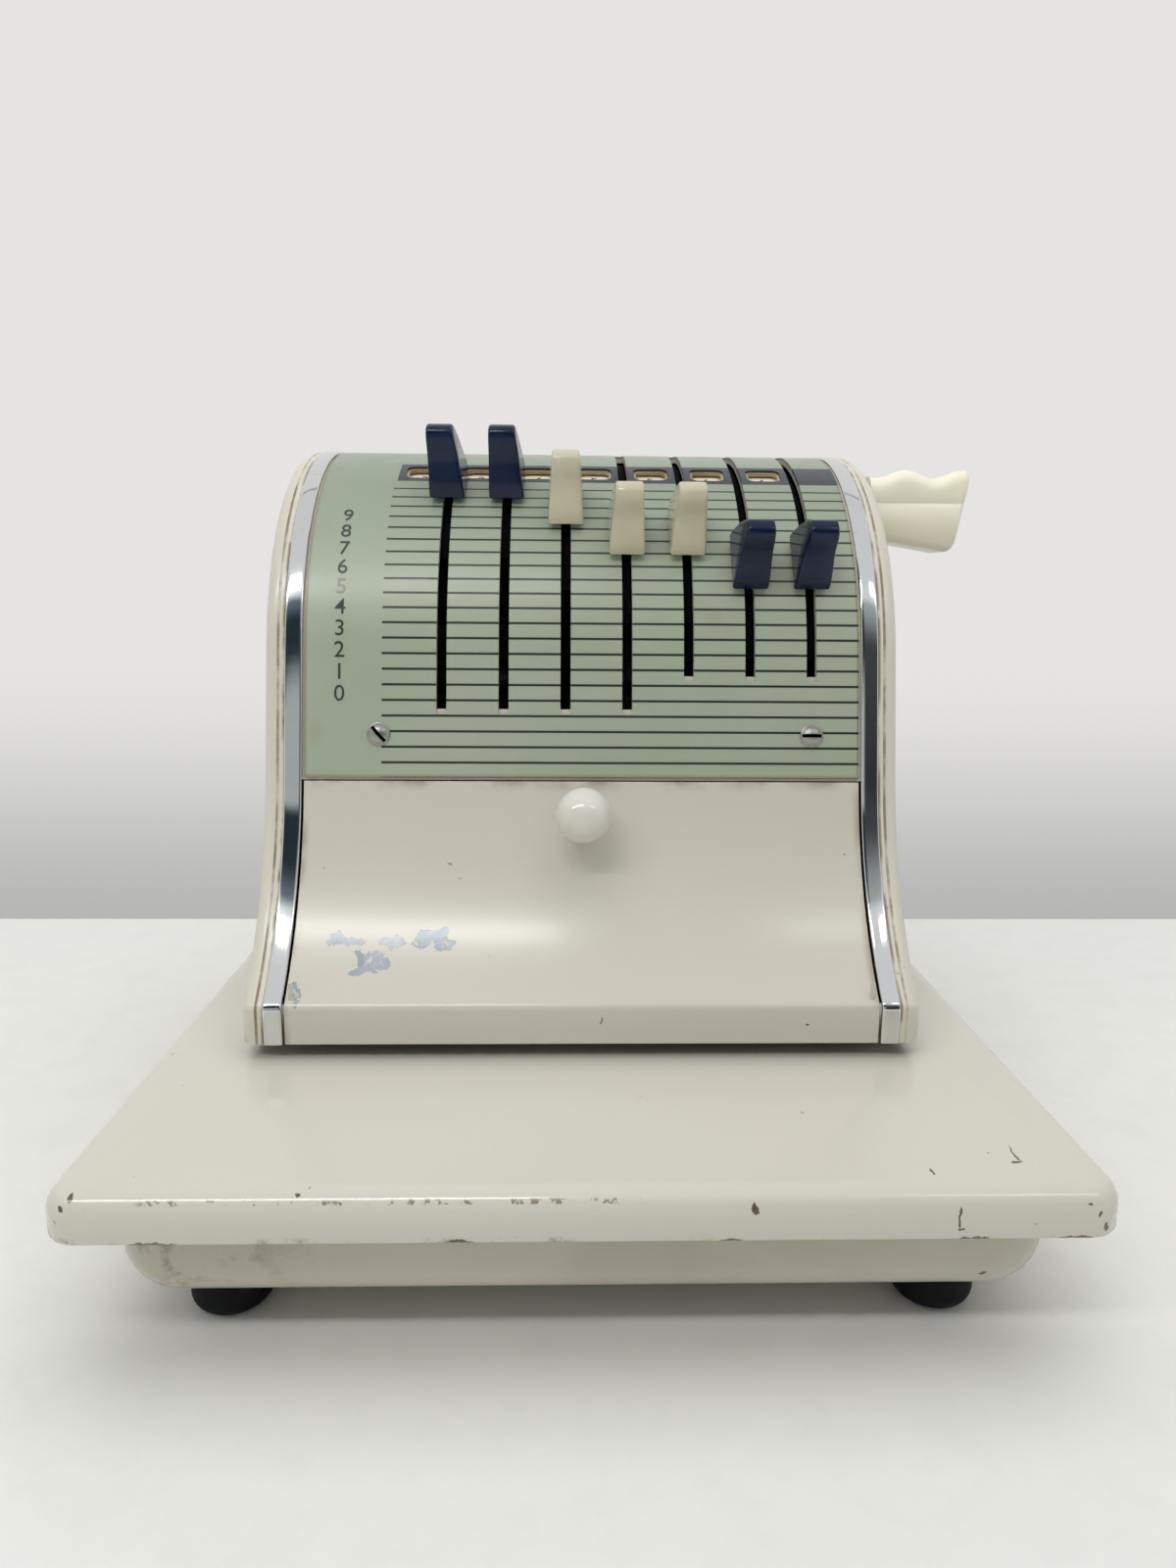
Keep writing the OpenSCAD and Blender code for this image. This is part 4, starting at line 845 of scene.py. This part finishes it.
def front_door():
    """The door with its two hinge ears and their pins."""
    parts = [strip(lip_pts, rounded(SKIN, DOOR_HALF, 0.6))]
    ear = [HINGE + up(4.2, 200 + 250 * i / 16) for i in range(17)]
    ear += [Vector((HEAD_FRONT + 1.7, HINGE.y + dz)) for dz in (11, -2)]
    for sgn in (-1, 1):
        parts.append(grid([[(sgn * x, p.x, p.y) for p in ear] for x in (84.6, 86.1)]))
        m = frame_at((sgn * 81.1, HINGE.x, HINGE.y), (sgn, 0, 0), (0, 1, 0))
        parts.append(lathe([(0.3, 0), (1.7, 0), (2.0, 0.3), (2.0, 3.6), (0.3, 3.6)], m, 24))
    verts, faces = merge(*parts)
    piece("door", verts, faces, "door", "case_enamel", M["door"], ["front_door"], 40)


def knob():
    """A ball on a flared neck, square to the door's curve."""
    a = LEAN + KNOB_BELOW / ARC_R
    p = ARC_C + ARC_R * Vector((math.cos(a), -math.sin(a)))
    m = frame_at((0, p.x, p.y), (0, -math.cos(a), math.sin(a)))
    profile = [(0.3, -3.7), (3.6, -3.7), (4.0, -3.4), (4.0, -1.9), (2.0, -1.7), (2.0, 0.05),
               (4.4, 0.05), (4.6, 0.4), (4.2, 0.9), (3.6, 1.6), (3.5, 2.6), (3.7, 3.2), (4.3, 3.7)]
    for i in range(25):
        t = math.radians(-58 + 148 * i / 24)
        profile.append((max(KNOB_R * math.cos(t), 0.15), KNOB_OUT + KNOB_R * math.sin(t)))
    v, f = lathe(profile, m, 64)
    piece("knob", v, f, "door", "knob_plastic", M["knob"], ["door_knob"], 60)


def dome_screws(name, places, size, node):
    """Slotted dome screws: each place is a local frame and the turn of its slot."""
    d, h = size
    ball = (d * d / 4 + h * h) / (2 * h)
    edge = math.asin(min(d / 2 / ball, 1.0))
    profile = [(0.2, -1.0), (d / 2 - 0.3, -0.4), (d / 2, 0.05), (d / 2, 0.3)]
    for j in range(1, 11):
        a = edge * (1 - j / 10)
        profile.append((max(ball * math.sin(a), 0.1), h - ball + ball * math.cos(a)))
    slot_w, slot_deep = 1.1, 1.3
    for i, (m, turn) in enumerate(places):
        v, f = lathe(profile, m)
        ob = piece("%s_%d" % (name, i + 1), v, f, "case", "chrome", M["nickel"],
                   [node] if i == 0 else [], 40)
        top = m @ Matrix.Rotation(turn, 4, "Z") @ Matrix.Translation((0, 0, h))
        slot = plain_box("slot_cut", top, (d * 1.4, slot_w, 2 * slot_deep))
        # The slot's cut faces take the near-black painted shade.
        slot.data.materials.append(M["slot"])
        cut(ob, slot)


def screws():
    p = on_plate(FACE_SCREW_S, 0.0)
    dome_screws("plate_screw", [(frame_at((x, p.x, p.y), (0, FLAT_N.x, FLAT_N.y)), turn)
                                for x, turn in ((LEVER_X[0] - LEVER_PITCH, -0.85), (LEVER_X[-1], 0.0))],
                FACE_SCREW, "face_screws")
    places = []
    for sgn in (-1, 1):
        for j, (y, z) in enumerate(((122.0, 93.0), (HC.x + R - 30, HC.y + 24))):
            m = frame_at((sgn * HEAD_HALF, y, z), (sgn, 0, 0), (0, 1, 0))
            places.append((m, 0.4 + j + sgn))
    dome_screws("cover_screw", places, CASE_SCREW, "case_screws")


def digit(name, text, size, x, p, t, body):
    """Prints a plain number, size mm high, on a surface at p, upright along t."""
    curve = bpy.data.curves.new(name, "FONT")
    curve.body = text
    curve.size = size / 1000
    curve.resolution_u = 4
    curve.extrude = 0.00003
    curve.offset = size * 0.000002
    curve.align_x = curve.align_y = "CENTER"
    ob = linked(name, curve)
    dg = bpy.context.evaluated_depsgraph_get()
    me = bpy.data.meshes.new_from_object(ob.evaluated_get(dg))
    bpy.data.objects.remove(ob, do_unlink=True)
    across_v, up_v = Vector((1, 0, 0)), Vector((0, t.x, t.y)).normalized()
    m = Matrix((across_v, up_v, across_v.cross(up_v))).transposed().to_4x4()
    m.translation = row(x, p.x, p.y)
    me.transform(m)
    me.materials.clear()
    me.materials.append(M["print"])
    ob = linked(name, me)
    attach(ob, body)


def digits():
    """A column of plain numbers up the left of the plate."""
    x, first, pitch, size = -76.4, 27.2, 6.85, 7.2
    for i in range(10):
        s = first + pitch * i
        digit("digit_%d" % i, str(i), size, x, on_plate(s, 0.05),
              on_plate(s + 0.1, 0) - on_plate(s - 0.1, 0), "case")


# Levers ------------------------------------------------------------------------------
def bezier(p, n):
    """A cubic curve through four control points, without its last point."""
    out = []
    for t in (i / n for i in range(n)):
        weights = [math.comb(3, k) * (1 - t) ** (3 - k) * t ** k for k in range(4)]
        out.append(sum((w * Vector(q) for w, q in zip(weights, p)), Vector((0, 0))))
    return out


def offset(poly, d):
    """Moves a closed outline inward by d (mitred)."""
    n = len(poly)
    area = sum(poly[i - 1].x * poly[i].y - poly[i].x * poly[i - 1].y for i in range(n))
    turn = 1 if area > 0 else -1
    out = []
    for i in range(n):
        a = (poly[i] - poly[i - 1]).normalized()
        b = (poly[(i + 1) % n] - poly[i]).normalized()
        m = Vector((-a.y, a.x)) * turn + Vector((-b.y, b.x)) * turn
        out.append(poly[i] + m / max(m.length_squared / 2, 0.6) * d)
    return out


def cap(k):
    """A lever's cap: a curved profile, narrower at the tip, with rounded edges."""
    toe, heel, low, high = 10.5, 9.8, 1.2, 21.4
    wide, narrow, edge_r = 5.8, 4.3, 0.9

    def share(h):
        return (h - low) / (high - low)

    front = [(toe, 0.0), (toe - 0.2, 0.3), (toe * 0.5, 0.42), (toe * 0.42, 0.74)]
    tip = [(toe * 0.42, 0.74), (toe * 0.36, 1.0), (1.5, 1.04), (-2.0, 0.98)]
    back = [(-2.0, 0.98), (-4.2, 0.9), (-heel + 1.2, 0.42), (-heel, 0.04)]
    pts = []
    for part, n in ((front, 12), (tip, 10), (back, 12)):
        pts += bezier([(x, low + t * (high - low)) for x, t in part], n)
    foot = [(-heel, 0.8), (-heel + 0.4, 0.15), (-heel + 1.0, 0.0), (toe - 1.0, 0.0), (toe - 0.35, 0.15)]
    pts += [Vector((x, low + h)) for x, h in foot]
    pts[0] = Vector((toe - 0.02, low + 0.6))
    a = math.radians(REST_A[k])
    edge = [(edge_r * (1 - math.sin(t)), edge_r * (1 - math.cos(t))) for t in quarter(4)]
    sides = [(-1, *e) for e in edge] + [(1, *e) for e in reversed(edge)]
    rings = []
    for sgn, inset, narrower in sides:
        ring = []
        for p in offset(pts, inset):
            half = wide + (narrow - wide) * max(min(share(p.y), 1), 0) - narrower
            q = HC + up(R + p.y, REST_A[k]) + Vector((-p.x * math.cos(a), -p.x * math.sin(a)))
            ring.append((LEVER_X[k] + sgn * half + CAP_LEAN[k] * share(p.y), q.x, q.y))
        rings.append(ring)
    v, f = grid(rings)
    slot, material = ("grip_plastic", "cap") if k in CREAM_CAPS else ("navy_plastic", "navy")
    piece("cap_%d" % (k + 1), v, f, "lever_%d" % (k + 1), slot, M[material],
          ["lever_cap_%d" % (k + 1)], 38)


def numbers(k):
    """The strip of numbers that a lever carries under its window."""
    x = LEVER_X[k] - WIN_LEFT
    half, count, size = WIN_W / 2 - 0.3, 10, 5.6
    first = WIN_A + REST_A[k] - TOP_A
    low, high = first - (count - 1) * STEP_A - STRIP_END, first + STRIP_END
    edge_r = STRIP_R - STRIP_EDGE
    section = [(STRIP_IN_R, -half), (edge_r, -half), (STRIP_R, STRIP_EDGE - half),
               (STRIP_R, half - STRIP_EDGE), (edge_r, half), (STRIP_IN_R, half)]
    rings = [[(x + w, *(HC + up(d, low + (high - low) * i / 60))) for d, w in section]
             for i in range(61)]
    v, f = grid(rings)
    piece("numbers_%d" % (k + 1), v, f, "lever_%d" % (k + 1), "plate_print", M["dial"])
    for n in range(count):
        a = first - n * STEP_A
        digit("dial_%d_%d" % (k + 1, n), str(n), size, x, HC + up(STRIP_R + 0.02, a),
              -up(1.0, a + 90), "lever_%d" % (k + 1))


# Handle ------------------------------------------------------------------------------
def dip(u, r):
    """How far a rounded end of radius r falls back at a distance u from its tip."""
    return r - math.sqrt(max(r * r - (r - u) ** 2, 0)) if u < r else 0.0


def grip():
    """A grip with finger grooves along the top, a seam round it and a slanted outer end."""
    stations, inner_end, half_h, wide_most = 72, ARM_OUT + 0.05, 15, 12.0
    groove_deep, groove_pitch, groove_at = 1.5, 21.8, 2.5
    top_r, low_r, end_r, under_r = 5.2, 3.4, 2.2, 3.2
    rise, slant, seam_deep = 4.6, 5.5, 0.45
    y, z = GRIP_C
    seam = z + 2.6
    rings = []
    for i in range(stations + 1):
        t = 1 - (1 - i / stations) ** 1.6
        x = inner_end + (GRIP_END - inner_end) * t
        u = GRIP_END - x
        groove = groove_deep * math.cos(2 * math.pi * (u - groove_at) / groove_pitch)
        end = dip(u, end_r)
        top = z + 13.5 + groove - end
        low = z - half_h + rise * max(u - 3, 0) / (GRIP_END - inner_end - 3) + dip(u, under_r)
        wide = wide_most - end
        side = [(wide, seam + 0.5), (wide - seam_deep, seam + 0.1), (wide - seam_deep, seam - 0.1),
                (wide - 0.05, seam - 0.5)]
        ring = corner(y + wide - top_r, top - top_r, top_r, 0, 8)
        ring += corner(y + top_r - wide, top - top_r, top_r, 90, 8)
        ring += [(y - w, h) for w, h in side]
        ring += corner(y + low_r - wide, low + low_r, low_r, 180, 6)
        ring += corner(y + wide - low_r, low + low_r, low_r, 270, 6)
        ring += [(y + w, h) for w, h in reversed(side)]
        lean = slant * t * t / (2 * half_h)
        rings.append([(x - lean * (z + half_h - h), w, h) for w, h in ring])
    v, f = grid(rings)
    piece("grip", v, f, "handle", "grip_plastic", M["grip"], ["handle_grip"], 50)


def arm():
    """A flat arm between two round ends, with the tang that the grip sits on."""
    boss_r, end_r, tang_r, tang_long = 13, 9, 4.5, 26
    d = GRIP_C - SHAFT
    base = angle_of(d)
    b = math.degrees(math.acos((boss_r - end_r) / d.length))
    outline = arc_pts(SHAFT, boss_r, base + b, base + 360 - b, 28)
    outline += arc_pts(GRIP_C, end_r, base - b, base + b, 28)
    levels = [(ARM_IN, 0.8), (ARM_IN + 0.25, 0.25), (ARM_IN + 0.8, 0), (ARM_OUT - 0.8, 0),
              (ARM_OUT - 0.25, 0.25), (ARM_OUT, 0.8)]
    body = grid([[(x, p.x, p.y) for p in offset(outline, inset)] for x, inset in levels])
    m = frame_at((ARM_OUT - 1, *GRIP_C), (1, 0, 0), (0, 1, 0))
    tang = lathe([(0.3, 0), (tang_r, 0), (tang_r, tang_long), (0.3, tang_long)], m, 32)
    piece("arm", *merge(body, tang), "handle", "steel", M["steel"], ["handle_arm"], 35)


# Camera, light and stage -------------------------------------------------------------
def camera():
    cam = bpy.data.cameras.new("camera")
    ob = linked("camera", cam)
    cam.sensor_fit = "AUTO"
    cam.sensor_width = SENSOR
    cam.lens = FOCAL / FRAME_H * SENSOR
    cam.clip_start, cam.clip_end = 0.02, 30
    pitch, yaw, roll = (math.radians(v) for v in CAM_TURN)
    ahead = Vector((math.sin(yaw) * math.cos(pitch), math.cos(yaw) * math.cos(pitch), -math.sin(pitch)))
    level = Vector((math.cos(yaw), -math.sin(yaw), 0))
    above = level.cross(ahead)
    right = level * math.cos(roll) + above * math.sin(roll)
    top = -level * math.sin(roll) + above * math.cos(roll)
    m = Matrix((right, top, -ahead)).transposed().to_4x4()
    m.translation = row(*CAM_AT)
    ob.matrix_world = m
    bpy.context.scene.camera = ob


def sheet_obj(name, corners, material):
    me = bpy.data.meshes.new(name)
    me.from_pydata([Vector(c) for c in corners], [], [tuple(range(len(corners)))])
    me.materials.append(material)
    ob = linked(name, me)
    return ob


def seen_as(g, col):
    """A backdrop that the camera and mirrors see in its own colour, whatever the lamps do."""
    t = g.t
    glow = g.new("ShaderNodeEmission")
    g.put(glow.inputs["Color"], col)
    glow.inputs["Strength"].default_value = 1.0
    path = g.new("ShaderNodeLightPath").outputs
    fac = g.math("MAXIMUM", g.math("MAXIMUM", path["Is Camera Ray"], path["Is Glossy Ray"]),
                 path["Is Transmission Ray"])
    mix = g.new("ShaderNodeMixShader")
    t.links.new(fac, mix.inputs[0])
    t.links.new(g.b.outputs[0], mix.inputs[1])
    t.links.new(glow.outputs[0], mix.inputs[2])
    t.links.new(mix.outputs[0], t.nodes["Material Output"].inputs[0])
    g.done(col, 0.9, spec=0.0)
    return g.m


def card(name, x, y, low, high, material):
    """An upright card that reaches x to both sides and that only mirrors see."""
    ob = sheet_obj(name, [(-x, y, low), (x, y, low), (x, y, high), (-x, y, high)], material)
    ob.visible_camera = ob.visible_diffuse = ob.visible_shadow = ob.visible_transmission = False


def room_mat():
    """What the chrome reflects: bright below and dark above at the left, and the reverse at the right."""
    g = Nodes("room_card")
    x, z = g.metres("X"), g.metres("Z")
    left = g.mix(g.ramp(z, 0.1, 0.46), lin("9a9c9c"), lin("b3b5b5"))
    left = g.mix(g.ramp(z, 0.50, 0.58), left, lin("263239"))
    left = g.mix(g.ramp(z, 0.95, 1.25), left, lin("5c6976"))
    right = g.mix(g.ramp(z, 0.25, 0.62), lin("2f2f31"), lin("434547"))
    right = g.mix(g.ramp(z, 0.62, 1.25), right, lin("a4aaa9"))
    room = g.mix(g.ramp(x, 0.0, 0.3), left, right)
    return seen_as(g, g.mix(g.ramp(z, 1.27, 1.46), room, lin("e2e4e6")))


def stage():
    """A white table, the wall behind it and the cards that the chrome reflects."""
    g = Nodes("table_white")
    col = g.mix(g.ramp(g.noise(60.0, 5.0, 0.65), 0.4, 0.7), lin("e8e8e4"), lin("e5e5e1"))
    g.bump(g.noise(180.0, 4.0), 0.04)
    table = g.done(col, 0.5)
    back = [(3, TABLE_BACK), (-3, TABLE_BACK)]
    sheet_obj("floor", [(-3, -3, 0), (3, -3, 0)] + [(x, y, 0) for x, y in back], table)
    edge = [(-3, TABLE_BACK, 0), (3, TABLE_BACK, 0)] + [(x, y, -TABLE_EDGE) for x, y in back]
    sheet_obj("floor_edge", edge, table)
    g = Nodes("wall_pale")
    # Painted shade: the wall darkens towards its foot, below the table's edge.
    wall = seen_as(g, g.mix(g.ramp(g.metres("Z"), -0.28, 0.1), lin("b6b6b4"), lin("e5e4e2")))
    sheet_obj("wall", [(-4, WALL_Y, -2), (4, WALL_Y, -2), (4, WALL_Y, 4), (-4, WALL_Y, 4)], wall)
    card("room", 2.0, -1.3, 0.02, 1.75, room_mat())
    card("ceiling_gap", 0.9, 0.40, 1.46, 1.54, seen_as(Nodes("dark_card"), lin("2a2c30")))


def light(name, at, target, size, power):
    """A rectangular lamp at a point, turned to its target."""
    lamp = bpy.data.lights.new(name, "AREA")
    lamp.shape = "RECTANGLE"
    lamp.size, lamp.size_y = size
    lamp.energy = power
    ob = linked(name, lamp)
    ob.location = at
    ob.rotation_euler = (Vector(target) - Vector(at)).to_track_quat("-Z", "Y").to_euler()
    return ob


def world():
    """An even fill that the camera and mirrors see as pale grey."""
    w = bpy.data.worlds.new("world")
    bpy.context.scene.world = w
    w.use_nodes = True
    t = w.node_tree
    bg = t.nodes["Background"]
    bg.inputs["Color"].default_value = (1, 1, 1, 1)
    bg.inputs["Strength"].default_value = 0.43
    seen = t.nodes.new("ShaderNodeBackground")
    seen.inputs["Color"].default_value = lin("dcdcdc")
    seen.inputs["Strength"].default_value = 1.0
    path = t.nodes.new("ShaderNodeLightPath")
    add = path.outputs["Is Camera Ray"]
    for k in ("Is Glossy Ray", "Is Transmission Ray"):
        m = t.nodes.new("ShaderNodeMath")
        m.operation = "MAXIMUM"
        t.links.new(add, m.inputs[0])
        t.links.new(path.outputs[k], m.inputs[1])
        add = m.outputs[0]
    mix = t.nodes.new("ShaderNodeMixShader")
    t.links.new(add, mix.inputs[0])
    t.links.new(bg.outputs[0], mix.inputs[1])
    t.links.new(seen.outputs[0], mix.inputs[2])
    t.links.new(mix.outputs[0], t.nodes["World Output"].inputs[0])


camera()
tray()
pan()
feet()
for side, end in ((-1, "left"), (1, "right")):
    cover(side, end)
    trim(side, end)
plate()
bezels()
back_cover()
front_door()
knob()
screws()
digits()
for k in range(LEVERS):
    cap(k)
    numbers(k)
grip()
arm()
stage()
world()
light("key", (-0.8, -1.0, 1.36), (-0.8, 0, 0.1), (1.5, 0.14), 9)
light("key_right", (1.05, -1.0, 1.36), (1.05, 0, 0.1), (0.9, 0.14), 1.8)
over = light("over", (0.1, 0.0, 1.6), (0.1, 0.05, 0.1), (1.8, 1.4), 13.0)
over.visible_glossy = False
bpy.context.scene.view_settings.view_transform = "Standard"
